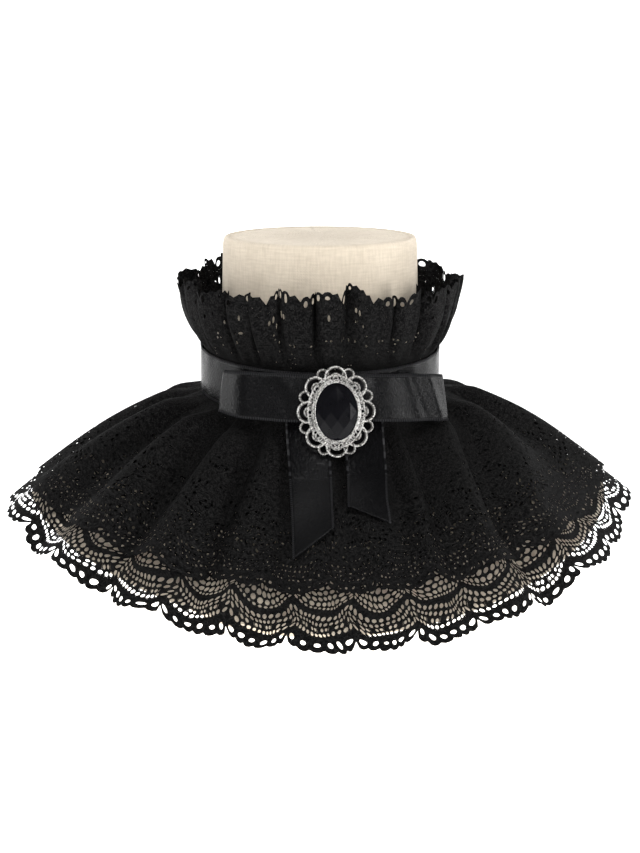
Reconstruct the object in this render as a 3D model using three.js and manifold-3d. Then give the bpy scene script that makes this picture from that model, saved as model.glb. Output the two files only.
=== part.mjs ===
// A black lace collar on a linen neck-and-shoulder display form.
// Millimetres, +Z up. The front faces -Y, and +X is the viewer's right.
// The origin is on the surface that the form stands on, straight below the middle of its neck.
//
// The collar is a satin neck band with a gathered lace ruffle standing above it and two gathered
// lace flounces below it. A flat ribbon bow, its two tails and an oval brooch are sewn on in front,
// and the band's ends lap over and button at the back, where the lace is open.
import * as THREE from "three";
import { mergeVertices } from "three/addons/utils/BufferGeometryUtils.js";
import Module from "manifold-3d";

// Driving dimensions of the cloth
const CLOTH = 1.1; // wall of every lace piece
const RIBBON = 1.0; // wall of every ribbon piece
const SEAM_GAP = 0.35; // between pieces that are sewn together
const TUCK = 8; // lace that lies behind the band
const BACK_OPENING = 0.8; // between the two ends of the lace, at the back

// The neck band is a ring of ribbon whose plane leans forward
const BAND_WIDTH = 25;
const BAND_INNER_RADIUS = 66;
const BAND_Z = 135.5; // middle of the band at the sides
const BAND_LEAN = 0.095; // drop of the band's plane for each millimetre forward
const BAND_COLUMNS = 72;
const BAND_OVERLAP = 0.34; // radians by which the band's ends lap
const BAND_LAP_STEP = 1.5; // how much further out the top end lies

// Flounces: one row for each direction in which the lace falls from the band
const FLOUNCE_SECTIONS = [
  { side: "front", drop: 20, shoulderRadius: 84, shoulderZ: 89, hemRadius: 147, hemZ: 16 },
  { side: "side", drop: 3, shoulderRadius: 114, shoulderZ: 109, hemRadius: 171, hemZ: 65 },
  { side: "back", drop: 13, shoulderRadius: 86, shoulderZ: 110, hemRadius: 122, hemZ: 24 },
];
const SIDE_SPREAD = 1.25; // a higher number narrows the front and the back
const SEAM_DROP = 0.6; // the flounces turn outward this far below the band's lower edge
const GATHERS = 28; // folds round each flounce, and scallops along its hem
const COLUMNS_PER_GATHER = 5;
const GATHER_DEPTH = 3.4; // from the middle of a fold to its crest
const GATHER_START = 0.04; // shares of the fall between which the folds deepen
const GATHER_FULL = 0.4;
const HEM_CALM = 0.35; // share of the folds' depth lost at the hem
const FRONT_CALM = { loss: 0.55, halfWidth: 0.4 }; // flatter behind the bow, within these radians
// Unevenness of the folds: how far their spacing and depth stray, how often round, and from where
const FOLD_DRIFT = { radians: 0.9, times: 3, start: 0.4 };
const FOLD_FADE = { share: 0.2, times: 5, start: 1 };
const HEM_SCALLOP = 5;
const LAYER_SPACING = 2.4; // between the middles of the two flounces, away from the band
const LAYERS_APART = 0.2; // share of the fall at which they are that far apart
// Places along a flounce's fall, as shares of its length. Both flounces have the upper ones.
const UPPER_ROWS = [0, 0.12, 0.28, 0.45, 0.62];
const LOWER_ROWS = [0.81, 1];
const OVER_REACH = { front: 0.74, side: 0.87, back: 0.8 }; // share where the upper flounce ends

// Ruffle: a table of its section above the band, as radii and shares of its height
const RUFFLE_SECTION = [
  { radius: 65.1, rise: 0 },
  { radius: 69, rise: 0.12 },
  { radius: 75, rise: 0.44 },
  { radius: 76.8, rise: 1 },
];
const RUFFLE_HEIGHT = { front: 43, side: 37, back: 36 };
const RUFFLE_WAVES = 24;
const COLUMNS_PER_WAVE = 5;
const RUFFLE_DEPTH = 4.2;
const RUFFLE_FULL = 0.8; // share of the height at which the waves are deepest
const RUFFLE_EDGE = 0.75; // share of the height at which the scallops start
const WAVE_DRIFT = { radians: 1.1, times: 4, start: 2 };
const WAVE_FADE = { share: 0.18, times: 7, start: 0 };
const RUFFLE_SCALLOP = 2.2;
const RUFFLE_ROWS = [0, 0.3, 0.65, 1];

// Bow: a flat loop of ribbon across the front, drooping a little at the right
const BOW_WIDTH = 25;
const BOW_REACH = 0.88; // radians from the middle to each end
const BOW_BACK_RADIUS = 69.5;
const BOW_DEPTH = { middle: 2.4, belly: 2.2, end: 3.2 };
const BOW_MIDDLE_Z = 129;
// Each end's height, and how much further out than the middle it stands
const BOW_LEFT_END = { z: 130, standOff: 4 };
const BOW_RIGHT_END = { z: 124.5, standOff: 8 };
const BOW_FLARE = 1.5; // power by which the ends stand off
const BOW_SLIT = 0.35; // half the gap where the ribbon's ends meet, behind the brooch
const BOW_COLUMNS = 56;

// Tails: a row for each, with the places of its two edges at the top and at the tip
const TAILS = [
  { name: "tail_left", top: [-27, -3.5], tip: [-29, -6], reach: [0.67, 0.52] },
  { name: "tail_right", top: [4.5, 27], tip: [1.5, 21], reach: [0.43, 0.54] },
];
const TAIL_RADIUS = 68; // of the tail's top, between the band and the bow
// From its top to just below the bow, where it turns outward, by shares of its length
const TAIL_BENDS = [
  { share: 0, radius: TAIL_RADIUS, z: 125 },
  { share: 0.12, radius: TAIL_RADIUS, z: 116.5 },
  { share: 0.2, radius: TAIL_RADIUS + 1.6, z: 112.5 },
];
const TAIL_ON_LACE = 0.26; // where it lies on the flounce, as a share of the flounce's fall
const TAIL_COLUMNS = 4;
const TAIL_FIRST_ROW = 0.27; // on the lace
const TAIL_ROWS = 7;

// Brooch: an oval openwork setting with a faceted stone
const BROOCH_Z = 122.5;
const BROOCH_LEAN = THREE.MathUtils.degToRad(9); // its foot stands out over the tails
const BROOCH_BACK = 76.9; // from the neck's middle to the plate's back
const PLATE = { halfWidth: 15.2, halfHeight: 19.2, thickness: 1.4 };
const BEZEL = { halfWidth: 12.7, halfHeight: 16.7, wall: 1.2, height: 2.6, sunk: 0.2 };
const OVAL_SIDES = 32;
const LOBES = 8; // of each kind
const BIG_LOBE = { radius: 4.9, wire: 0.75, segments: 10, reachX: 20.25, reachZ: 24 };
const SMALL_LOBE = { radius: 2.9, wire: 0.65, segments: 7, reachX: 20.0, reachZ: 23.2 };
const ROSETTE = { radius: 2.2, thickness: 2, sides: 8, reachX: 17.6, reachZ: 21.4 };
const STONE = { halfWidth: 11.2, halfHeight: 15.2, sides: 12 };
// The stone's rings, from its foot up: size as a share of its outline, and height
const STONE_RINGS = [
  { share: 1, height: 0 },
  { share: 1, height: 1.4 },
  { share: 0.8, height: 3.5 },
  { share: 0.42, height: 4.9 },
];
const STONE_HEIGHT = 5.3;

// Button that holds the lapped ends of the band
const BUTTON = { radius: 5.5, thickness: 2.4, edge: 0.6, sides: 16 };

// Display form
const NECK_TOP_Z = 208;
const NECK_PROFILE = [
  { radius: 50.5, z: NECK_TOP_Z },
  { radius: 53.2, z: NECK_TOP_Z - 1.2 },
  { radius: 54, z: NECK_TOP_Z - 4 },
  { radius: 54.6, z: NECK_TOP_Z - 30 },
];
const FORM_COLUMNS = 48;
const FORM_CLEARANCE = 0.4; // below the deepest fold of the lace
const FORM_LOWER_ROWS = [0.78, 0.93]; // shares of the fall; at the last one the form turns under
const FORM_FALL_AWAY = { front: 9, side: 0, back: 7 }; // from the chest and back to the hem
const FOOT = { side: 76, front: 84, back: 70, edge: 1.5 };
const UNDERSIDE_STEPS = [0.25, 0.5, 0.75, 1];
const UNDERSIDE_FULL = { radius: 0.74, height: 0.46 }; // how full the turn under is, as shares of its edge
const NECK_ROOT = { above: 12, share: 0.35 }; // where the neck starts to widen, above the lace's top

// Radii at the seam, worked out from the band inwards
const OVER_SEAM_RADIUS = BAND_INNER_RADIUS - SEAM_GAP - CLOTH / 2;
const UNDER_SEAM_RADIUS = OVER_SEAM_RADIUS - CLOTH - SEAM_GAP;
const FORM_SEAM_RADIUS = UNDER_SEAM_RADIUS - CLOTH / 2 - FORM_CLEARANCE;
const BAND_MIDDLE_RADIUS = BAND_INNER_RADIUS + RIBBON / 2;

const NORMAL_STEP = 1e-3; // in a surface's parameters
const MERGE_TOLERANCE = 1e-4; // mm

const wasm = await Module();
wasm.setup();

const lace = new THREE.MeshStandardMaterial({ color: 0x101012, roughness: 0.9, metalness: 0 });
const satin = new THREE.MeshStandardMaterial({ color: 0x141417, roughness: 0.35, metalness: 0 });
const silver = new THREE.MeshStandardMaterial({ color: 0xb9b6b1, roughness: 0.32, metalness: 1 });
const jet = new THREE.MeshStandardMaterial({ color: 0x08080a, roughness: 0.08, metalness: 0 });
const linen = new THREE.MeshStandardMaterial({ color: 0xddd0bb, roughness: 0.95, metalness: 0 });
const buttonBlack = new THREE.MeshStandardMaterial({ color: 0x0c0c0d, roughness: 0.3, metalness: 0 });

const smooth = THREE.MathUtils.smoothstep;
const mix = THREE.MathUtils.lerp;

// A point at an angle from the front, turning towards +X, a radius and a height.
function polar(angle, radius, z) {
  return new THREE.Vector3(radius * Math.sin(angle), -radius * Math.cos(angle), z);
}

const [DROP, SHOULDER_RADIUS, SHOULDER_Z, HEM_RADIUS, HEM_Z] = [
  "drop",
  "shoulderRadius",
  "shoulderZ",
  "hemRadius",
  "hemZ",
].map(flounceColumn);

// Height of the band's middle in a direction.
function bandZ(angle) {
  return BAND_Z - BAND_LEAN * BAND_MIDDLE_RADIUS * Math.cos(angle);
}

// A value in one direction, blended from its values at the front, the side and the back.
function blend(angle, { front, side, back }) {
  const ahead = Math.pow(Math.max(0, Math.cos(angle)), SIDE_SPREAD);
  const behind = Math.pow(Math.max(0, -Math.cos(angle)), SIDE_SPREAD);
  return ahead * front + (1 - ahead - behind) * side + behind * back;
}

// One column of the flounce's table, by direction.
function flounceColumn(column) {
  return Object.fromEntries(FLOUNCE_SECTIONS.map((row) => [row.side, row[column]]));
}

// Radius of an oval whose front and back half-depths differ.
function ovalRadius(angle, { front, side, back }) {
  const depth = Math.cos(angle) > 0 ? front : back;
  return 1 / Math.hypot(Math.sin(angle) / side, Math.cos(angle) / depth);
}

// The fall of the lace in one direction, as a curve of radius and height.
function fall(angle) {
  const top = bandZ(angle) - BAND_WIDTH / 2 - SEAM_DROP;
  const radius = UNDER_SEAM_RADIUS;
  return new THREE.CubicBezierCurve(
    new THREE.Vector2(radius, top),
    new THREE.Vector2(radius, top - blend(angle, DROP)),
    new THREE.Vector2(ovalRadius(angle, SHOULDER_RADIUS), blend(angle, SHOULDER_Z)),
    new THREE.Vector2(ovalRadius(angle, HEM_RADIUS), blend(angle, HEM_Z)),
  );
}

// Folds round the neck: 1 on a crest and -1 in a trough, uneven in spacing and depth.
function folds(angle, count, drift, fade) {
  const phase = count * angle + drift.radians * Math.sin(drift.times * angle + drift.start);
  return Math.cos(phase) * (1 - fade.share + fade.share * Math.sin(fade.times * angle + fade.start));
}

// Depth of the folds at a share of the fall. They start flat at the band, and lie calmer behind
// the bow and at the hem.
function gatherDepth(angle, share) {
  const ahead = Math.exp(-Math.pow(angle / FRONT_CALM.halfWidth, 2));
  const calm = 1 - FRONT_CALM.loss * ahead * (1 - share);
  return GATHER_DEPTH * smooth(share, GATHER_START, GATHER_FULL) * (1 - HEM_CALM * share) * calm;
}

// A round scallop in every gather's width, 0 at its ends and 1 at its middle.
function scallop(angle, count) {
  const place = (angle * count) / (2 * Math.PI);
  const across = 2 * (place - Math.floor(place)) - 1;
  return Math.sqrt(Math.max(0, 1 - across * across));
}

// A point that stands off the plain fall by a distance. A share below 0 runs up behind the band.
function offFall(angle, share, distance) {
  const curve = fall(angle);
  if (share < 0) return polar(angle, curve.v0.x + distance, curve.v0.y - share * TUCK);
  const at = curve.getPointAt(Math.min(share, 1));
  const along = curve.getTangentAt(Math.min(share, 1));
  const past = Math.max(0, share - 1) * curve.getLength();
  const radius = at.x + along.x * past - along.y * distance;
  return polar(angle, radius, at.y + along.y * past + along.x * distance);
}

function layerSpacing(share) {
  return mix(CLOTH + SEAM_GAP, LAYER_SPACING, smooth(share, 0, LAYERS_APART));
}

// Corner normal of a surface of two parameters, from small steps along each.
function surfaceNormal(surface, u, v) {
  const step = NORMAL_STEP;
  const alongU = surface(u + step, v).sub(surface(u - step, v));
  const alongV = surface(u, v + step).sub(surface(u, v - step));
  return alongU.cross(alongV).normalize();
}

function signedVolume(positions, triangles) {
  const corner = (i) => new THREE.Vector3().fromArray(positions, 3 * i);
  let volume = 0;
  for (let i = 0; i < triangles.length; i += 3) {
    const [a, b, c] = [0, 1, 2].map((k) => corner(triangles[i + k]));
    volume += a.dot(b.cross(c)) / 6;
  }
  return volume;
}

// Geometry from positions and triangles, with its faces turned to point out.
function closedGeometry(positions, triangles) {
  if (signedVolume(positions, triangles) < 0)
    for (let i = 0; i < triangles.length; i += 3)
      [triangles[i + 1], triangles[i + 2]] = [triangles[i + 2], triangles[i + 1]];
  const geometry = new THREE.BufferGeometry();
  geometry.setAttribute("position", new THREE.Float32BufferAttribute(positions, 3));
  geometry.setIndex(triangles);
  geometry.computeVertexNormals();
  return geometry;
}

// A wall of cloth: a grid on its middle surface, thickened half each way along the normal.
// The strip is open in both directions, so its four edges are closed with rims.
function clothWall(surface, us, vs, thickness) {
  const positions = [];
  for (const side of [0.5, -0.5])
    for (const u of us)
      for (const v of vs) {
        const out = surfaceNormal(surface, u, v).multiplyScalar(side * thickness);
        positions.push(...surface(u, v).add(out).toArray());
      }
  const across = vs.length;
  const layer = us.length * across;
  const triangles = [];
  const quad = (a, b, c, d) => triangles.push(a, b, c, a, c, d);
  for (let i = 0; i < us.length - 1; i++)
    for (let j = 0; j < across - 1; j++) {
      const a = i * across + j;
      const [b, c, d] = [a + across, a + across + 1, a + 1];
      quad(a, b, c, d);
      quad(layer + d, layer + c, layer + b, layer + a);
    }
  for (let i = 0; i < us.length - 1; i++) {
    const first = i * across;
    const last = first + across - 1;
    quad(first, layer + first, layer + first + across, first + across);
    quad(last, last + across, layer + last + across, layer + last);
  }
  for (let j = 0; j < across - 1; j++) {
    const end = (us.length - 1) * across + j;
    quad(j, j + 1, layer + j + 1, layer + j);
    quad(end, layer + end, layer + end + 1, end + 1);
  }
  return closedGeometry(positions, triangles);
}

// A closed solid from rings of points, with a single point at each end.
function loft(rings, firstPole, lastPole) {
  const count = rings[0].length;
  const positions = [...firstPole.toArray(), ...lastPole.toArray()];
  rings.flat().forEach((p) => positions.push(...p.toArray()));
  const at = (ring, i) => 2 + ring * count + (i % count);
  const triangles = [];
  for (let i = 0; i < count; i++) {
    triangles.push(0, at(0, i), at(0, i + 1));
    for (let ring = 0; ring < rings.length - 1; ring++)
      triangles.push(
        at(ring, i), at(ring + 1, i), at(ring + 1, i + 1),
        at(ring, i), at(ring + 1, i + 1), at(ring, i + 1),
      );
    triangles.push(1, at(rings.length - 1, i + 1), at(rings.length - 1, i));
  }
  return closedGeometry(positions, triangles);
}

function evenSteps(from, to, count) {
  return Array.from({ length: count + 1 }, (_, i) => mix(from, to, i / count));
}

function named(name, geometry, material) {
  const mesh = new THREE.Mesh(geometry, material);
  mesh.name = name;
  return mesh;
}

// Angles round the collar, from one edge of the back opening to the other.
function roundTheNeck(columns) {
  const edge = Math.PI - BACK_OPENING / 2 / BAND_INNER_RADIUS;
  return evenSteps(-edge, edge, columns);
}

// A flounce falls from behind the band and ends in a scalloped hem. Its layer's distance is from
// the lower flounce, and its reach is the share of the fall at which its last row lies.
function flounce(name, rows, reach, layerDistance) {
  const last = rows.length - 1;
  const surface = (angle, row) => {
    const whole = Math.min(Math.max(Math.floor(row), 0), last - 1);
    const ends = [...rows.slice(0, last), reach(angle)];
    const share = row < 0 ? row : mix(ends[whole], ends[whole + 1], row - whole);
    const scallops = smooth(row, last - 1, last) * scallop(angle, GATHERS) * HEM_SCALLOP;
    const along = share + scallops / fall(angle).getLength();
    const fold = gatherDepth(angle, share) * folds(angle, GATHERS, FOLD_DRIFT, FOLD_FADE);
    return offFall(angle, along, layerDistance(share) + fold);
  };
  const columns = roundTheNeck(GATHERS * COLUMNS_PER_GATHER);
  const wholeRows = evenSteps(-1, last, last + 1);
  return named(name, clothWall(surface, columns, wholeRows, CLOTH), lace);
}

function overReach(angle) {
  return blend(angle, OVER_REACH);
}

function ruffle() {
  const surface = (angle, share) => {
    const height = blend(angle, RUFFLE_HEIGHT);
    const corners = RUFFLE_SECTION.map(({ radius, rise }) => new THREE.Vector2(radius, rise * height));
    const section = new THREE.CubicBezierCurve(...corners);
    const foot = bandZ(angle) + BAND_WIDTH / 2;
    if (share < 0) return polar(angle, corners[0].x, foot + share * TUCK);
    const at = section.getPointAt(Math.min(share, 1));
    const along = section.getTangentAt(Math.min(share, 1));
    const wave = folds(angle, RUFFLE_WAVES, WAVE_DRIFT, WAVE_FADE);
    const stand = RUFFLE_DEPTH * smooth(share, 0, RUFFLE_FULL) * wave;
    const edge = smooth(share, RUFFLE_EDGE, 1) * RUFFLE_SCALLOP * scallop(angle, RUFFLE_WAVES);
    return polar(angle, at.x + along.y * stand, foot + at.y - along.x * stand + edge);
  };
  const columns = roundTheNeck(RUFFLE_WAVES * COLUMNS_PER_WAVE);
  return named("neck_ruffle", clothWall(surface, columns, [-1, ...RUFFLE_ROWS], CLOTH), lace);
}

// The band winds once round the neck, and its end steps out and laps over its start at the back.
function band() {
  const start = -Math.PI - BAND_OVERLAP / 2;
  const turns = 2 * Math.PI + BAND_OVERLAP;
  const surface = (turn, v) => {
    const angle = start + turn * turns;
    const stepOut = smooth(angle, Math.PI - 2 * BAND_OVERLAP, Math.PI - BAND_OVERLAP / 2);
    return polar(angle, BAND_MIDDLE_RADIUS + BAND_LAP_STEP * stepOut, bandZ(angle) + v * BAND_WIDTH);
  };
  const wall = clothWall(surface, evenSteps(0, 1, BAND_COLUMNS), [-0.5, 0.5], RIBBON);
  return named("neck_band", wall, satin);
}

// Plan of the bow: out along the back to one end, across the front and back in from the other end.
function bowPlan() {
  const backRadius = (angle) => {
    const { standOff } = angle < 0 ? BOW_LEFT_END : BOW_RIGHT_END;
    return BOW_BACK_RADIUS + standOff * Math.pow(Math.abs(angle) / BOW_REACH, BOW_FLARE);
  };
  const depth = (angle) => {
    const out = Math.abs(angle) / BOW_REACH;
    return mix(BOW_DEPTH.middle, BOW_DEPTH.end, out) + BOW_DEPTH.belly * Math.sin(Math.PI * out);
  };
  const steps = evenSteps(BOW_SLIT / BOW_BACK_RADIUS, BOW_REACH, 7);
  const backOut = steps.map((a) => polar(-a, backRadius(a), 0));
  const front = evenSteps(-BOW_REACH, BOW_REACH, 14).map((a) => polar(a, backRadius(a) + depth(a), 0));
  const backIn = steps.map((a) => polar(a, backRadius(a), 0)).reverse();
  const turnPoint = (side) => {
    const angle = side * (BOW_REACH + BOW_DEPTH.end / 2 / BOW_BACK_RADIUS);
    return polar(angle, backRadius(side * BOW_REACH) + BOW_DEPTH.end / 2, 0);
  };
  return new THREE.CatmullRomCurve3([...backOut, turnPoint(-1), ...front, turnPoint(1), ...backIn]);
}

function bow() {
  const plan = bowPlan();
  const surface = (u, v) => {
    const clamped = Math.min(Math.max(u, 0), 1);
    const at = plan.getPointAt(clamped);
    const past = plan.getTangentAt(clamped).multiplyScalar((u - clamped) * plan.getLength());
    at.add(past);
    const side = Math.atan2(at.x, -at.y) / BOW_REACH;
    const end = side < 0 ? BOW_LEFT_END : BOW_RIGHT_END;
    at.z = mix(BOW_MIDDLE_Z, end.z, side * side) + v * BOW_WIDTH;
    return at;
  };
  const wall = clothWall(surface, evenSteps(0, 1, BOW_COLUMNS), [-0.5, 0.5], RIBBON);
  return named("bow_loops", wall, satin);
}

// A tail hangs from behind the bow, turns outward below it and lies on the crests of the upper flounce.
function tail({ name, top, tip, reach }) {
  const bends = TAIL_BENDS;
  const onLace = (angle, share) => {
    const stand = layerSpacing(share) + gatherDepth(angle, share) + CLOTH / 2 + SEAM_GAP + RIBBON / 2;
    return offFall(angle, share, stand);
  };
  const surface = (across, along) => {
    const x = mix(mix(top[0], top[1], across), mix(tip[0], tip[1], across), along);
    const last = bends.at(-1);
    const onward = (along - last.share) / (1 - last.share);
    const share = mix(TAIL_ON_LACE, mix(reach[0], reach[1], across), onward);
    const angleAt = (radius) => Math.asin(Math.max(-1, Math.min(1, x / radius)));
    if (along > last.share) {
      const radius = Math.hypot(onLace(0, share).x, onLace(0, share).y);
      return onLace(angleAt(radius), share);
    }
    const i = along < bends[1].share ? 0 : 1;
    const part = (along - bends[i].share) / (bends[i + 1].share - bends[i].share);
    const radius = mix(bends[i].radius, bends[i + 1].radius, part);
    return polar(angleAt(radius), radius, mix(bends[i].z, bends[i + 1].z, part));
  };
  const rows = [...bends.map(({ share }) => share), ...evenSteps(TAIL_FIRST_ROW, 1, TAIL_ROWS)];
  return named(name, clothWall(surface, evenSteps(0, 1, TAIL_COLUMNS), rows, RIBBON), satin);
}

function solidOf(geometry) {
  const bare = geometry.clone();
  bare.deleteAttribute("normal");
  bare.deleteAttribute("uv");
  const merged = mergeVertices(bare, MERGE_TOLERANCE);
  return new wasm.Manifold(
    new wasm.Mesh({
      numProp: 3,
      vertProperties: merged.attributes.position.array,
      triVerts: new Uint32Array(merged.index.array),
    }),
  );
}

function geometryOf(solid) {
  const mesh = solid.getMesh();
  const geometry = new THREE.BufferGeometry();
  geometry.setAttribute("position", new THREE.BufferAttribute(mesh.vertProperties, 3));
  geometry.setIndex(new THREE.BufferAttribute(mesh.triVerts, 1));
  geometry.computeVertexNormals();
  return geometry;
}

// An upright oval disc: its face points along +Z until the brooch's group turns it to the front.
function ovalDisc(halfWidth, halfHeight, thickness, sides) {
  const geometry = new THREE.CylinderGeometry(1, 1, thickness, sides);
  geometry.rotateX(Math.PI / 2);
  geometry.scale(halfWidth, halfHeight, 1);
  return geometry;
}

function wireRing({ radius, wire, segments }) {
  return new THREE.TorusGeometry(radius, wire, 4, segments);
}

// Copies of one kind of lobe round the plate, inside the oval that their outer edges reach.
function lobes(kind, turn, make) {
  return Array.from({ length: LOBES }, (_, i) => {
    const angle = ((i + turn) / LOBES) * 2 * Math.PI;
    const x = (kind.reachX - kind.radius) * Math.sin(angle);
    const y = (kind.reachZ - kind.radius) * Math.cos(angle);
    return make(kind).translate(x, y, 0);
  });
}

function broochSetting() {
  const plate = solidOf(ovalDisc(PLATE.halfWidth, PLATE.halfHeight, PLATE.thickness, OVAL_SIDES));
  const edge = [
    ...lobes(BIG_LOBE, 0, wireRing),
    ...lobes(SMALL_LOBE, 0.5, wireRing),
    ...lobes(ROSETTE, 0, ({ radius, thickness, sides }) => ovalDisc(radius, radius, thickness, sides)),
  ];
  const openwork = edge.reduce((solid, lobe) => solid.add(solidOf(lobe)), plate);
  const { halfWidth, halfHeight, wall, height, sunk } = BEZEL;
  const outer = ovalDisc(halfWidth, halfHeight, height, OVAL_SIDES);
  const inner = ovalDisc(halfWidth - wall, halfHeight - wall, 4 * height, OVAL_SIDES);
  outer.translate(0, 0, height / 2 + PLATE.thickness / 2 - sunk);
  const bezel = solidOf(outer).subtract(solidOf(inner));
  return named("brooch_setting", geometryOf(openwork.add(bezel)), silver);
}

// The stone's facets run from ring to ring, each ring turned half a step from the one below it.
function broochStone() {
  const ringPoints = ({ share, height }, ring) =>
    Array.from({ length: STONE.sides }, (_, i) => {
      const angle = ((i + (ring > 1 ? (ring - 1) / 2 : 0)) / STONE.sides) * 2 * Math.PI;
      return new THREE.Vector3(
        share * STONE.halfWidth * Math.cos(angle),
        share * STONE.halfHeight * Math.sin(angle),
        height,
      );
    });
  const foot = new THREE.Vector3(0, 0, 0);
  const peak = new THREE.Vector3(0, 0, STONE_HEIGHT);
  const stone = named("brooch_stone", loft(STONE_RINGS.map(ringPoints), foot, peak), jet);
  stone.position.z = PLATE.thickness / 2 + SEAM_GAP;
  return stone;
}

// The brooch is modelled flat, then stood up to face the front and leaned so that its foot is out.
function brooch() {
  const group = new THREE.Group();
  group.add(broochSetting(), broochStone());
  group.rotation.x = Math.PI / 2 - BROOCH_LEAN;
  group.position.set(0, -(BROOCH_BACK + PLATE.thickness / 2), BROOCH_Z);
  return group;
}

function backButton() {
  const { radius, thickness, edge, sides } = BUTTON;
  const profile = [
    [0, 0],
    [radius - edge, 0],
    [radius, edge],
    [radius, thickness - edge],
    [radius - edge, thickness],
    [0, thickness],
  ].map(([x, y]) => new THREE.Vector2(x, y));
  const button = named("back_button", new THREE.LatheGeometry(profile, sides), buttonBlack);
  const lapRadius = BAND_MIDDLE_RADIUS + BAND_LAP_STEP + RIBBON / 2;
  button.position.set(0, lapRadius + SEAM_GAP, bandZ(Math.PI));
  return button;
}

// Where the form's chest and back fall away from the lace towards the hem.
function formDistance(angle, share) {
  const nearest = gatherDepth(angle, share) + CLOTH / 2 + FORM_CLEARANCE;
  return nearest + blend(angle, FORM_FALL_AWAY) * share * share;
}

function displayForm() {
  const angles = evenSteps(0, 2 * Math.PI, FORM_COLUMNS).slice(0, -1);
  const laceTop = (angle) => bandZ(angle) - BAND_WIDTH / 2 - SEAM_DROP + TUCK + 1;
  const rootRadius = mix(NECK_PROFILE.at(-1).radius, FORM_SEAM_RADIUS, NECK_ROOT.share);
  const edgeRow = FORM_LOWER_ROWS.at(-1);
  const shoulder = (angle) => offFall(angle, edgeRow, -formDistance(angle, edgeRow));
  const underside = (angle, part) => {
    const edge = shoulder(angle);
    const radius = Math.hypot(edge.x, edge.y);
    const foot = ovalRadius(angle, FOOT);
    const curve = new THREE.QuadraticBezierCurve(
      new THREE.Vector2(radius, edge.z),
      new THREE.Vector2(radius * UNDERSIDE_FULL.radius, edge.z * UNDERSIDE_FULL.height),
      new THREE.Vector2(foot, FOOT.edge),
    );
    const at = curve.getPoint(part);
    return polar(angle, at.x, at.y);
  };
  const rings = [
    ...NECK_PROFILE.map(({ radius, z }) => angles.map((a) => polar(a, radius, z))),
    angles.map((a) => polar(a, rootRadius, laceTop(a) + NECK_ROOT.above)),
    angles.map((a) => polar(a, FORM_SEAM_RADIUS, laceTop(a))),
    ...[...UPPER_ROWS, ...FORM_LOWER_ROWS].map((share) =>
      angles.map((a) => offFall(a, share, -formDistance(a, share))),
    ),
    ...UNDERSIDE_STEPS.map((part) => angles.map((a) => underside(a, part))),
    angles.map((a) => polar(a, ovalRadius(a, FOOT) - FOOT.edge, 0)),
  ];
  const top = new THREE.Vector3(0, 0, NECK_TOP_Z);
  return named("display_form", loft(rings, top, new THREE.Vector3(0, 0, 0)), linen);
}

const collar = new THREE.Group();
collar.add(
  displayForm(),
  flounce("flounce_under", [...UPPER_ROWS, ...LOWER_ROWS], () => 1, () => 0),
  flounce("flounce_over", [...UPPER_ROWS, 1], overReach, layerSpacing),
  ruffle(),
  band(),
  bow(),
  ...TAILS.map(tail),
  brooch(),
  backButton(),
);

export default collar;
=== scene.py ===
# %% [markdown]
# # A black lace collar on a linen display form
# The collar is made of a satin neck band, a gathered ruffle above it, two gathered flounces
# below it, a flat ribbon bow with two tails, and an oval brooch with a black stone.
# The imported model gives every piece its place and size. This script dresses it: each piece is
# worked out again as a fine surface in the same place, and gets its cloth, metal or stone.

import bmesh
import bpy
import numpy as np
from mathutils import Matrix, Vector


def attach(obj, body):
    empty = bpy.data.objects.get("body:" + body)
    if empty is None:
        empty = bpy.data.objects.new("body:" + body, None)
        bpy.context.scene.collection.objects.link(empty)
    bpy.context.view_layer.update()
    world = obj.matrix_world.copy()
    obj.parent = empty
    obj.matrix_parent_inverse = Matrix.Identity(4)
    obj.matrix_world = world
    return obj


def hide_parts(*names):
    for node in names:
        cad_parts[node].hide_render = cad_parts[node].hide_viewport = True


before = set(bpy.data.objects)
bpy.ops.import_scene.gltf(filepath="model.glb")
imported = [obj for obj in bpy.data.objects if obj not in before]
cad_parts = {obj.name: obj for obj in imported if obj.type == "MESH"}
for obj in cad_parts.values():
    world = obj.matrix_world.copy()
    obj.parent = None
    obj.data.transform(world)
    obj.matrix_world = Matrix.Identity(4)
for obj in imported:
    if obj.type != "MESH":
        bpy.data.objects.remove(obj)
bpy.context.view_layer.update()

MM = 0.001
print("nodes:", sorted(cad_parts))

# %% [markdown]
# ## Meshes from arrays
# Every surface here is a formula on a grid. Numpy works out all of its points at once, in
# millimetres. One helper puts points and four-cornered faces into a mesh, and another joins the
# corners of a grid, and closes it where it runs round a ring.


# %% Putting points and faces into a mesh
MERGE_DISTANCE = 0.02 * MM


def in_scene(name, data):
    """A new object in the scene, made of a mesh, a light or a camera."""
    thing = bpy.data.objects.new(name, data)
    bpy.context.scene.collection.objects.link(thing)
    return thing


def new_object(name, points, faces, finish, uv=None, flat=False, weld=False):
    """A mesh object from points in millimetres and an array of four corners for each face."""
    mesh = bpy.data.meshes.new(name)
    mesh.vertices.add(len(points))
    mesh.vertices.foreach_set("co", (np.asarray(points, np.float32) * MM).ravel())
    mesh.loops.add(faces.size)
    mesh.loops.foreach_set("vertex_index", faces.ravel().astype(np.int32))
    mesh.polygons.add(len(faces))
    mesh.polygons.foreach_set("loop_start", np.arange(0, faces.size, 4, dtype=np.int32))
    mesh.polygons.foreach_set("use_smooth", np.full(len(faces), not flat))
    if uv is not None:
        layer = mesh.uv_layers.new(name="cloth")
        layer.data.foreach_set("uv", uv[faces.ravel()].astype(np.float32).ravel())
    mesh.update(calc_edges=True)
    mesh.validate()
    if weld:
        merge_close(mesh)
    mesh.materials.append(finish)
    print(f"{name}: {len(mesh.polygons)} faces")
    return in_scene(name, mesh)


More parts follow.
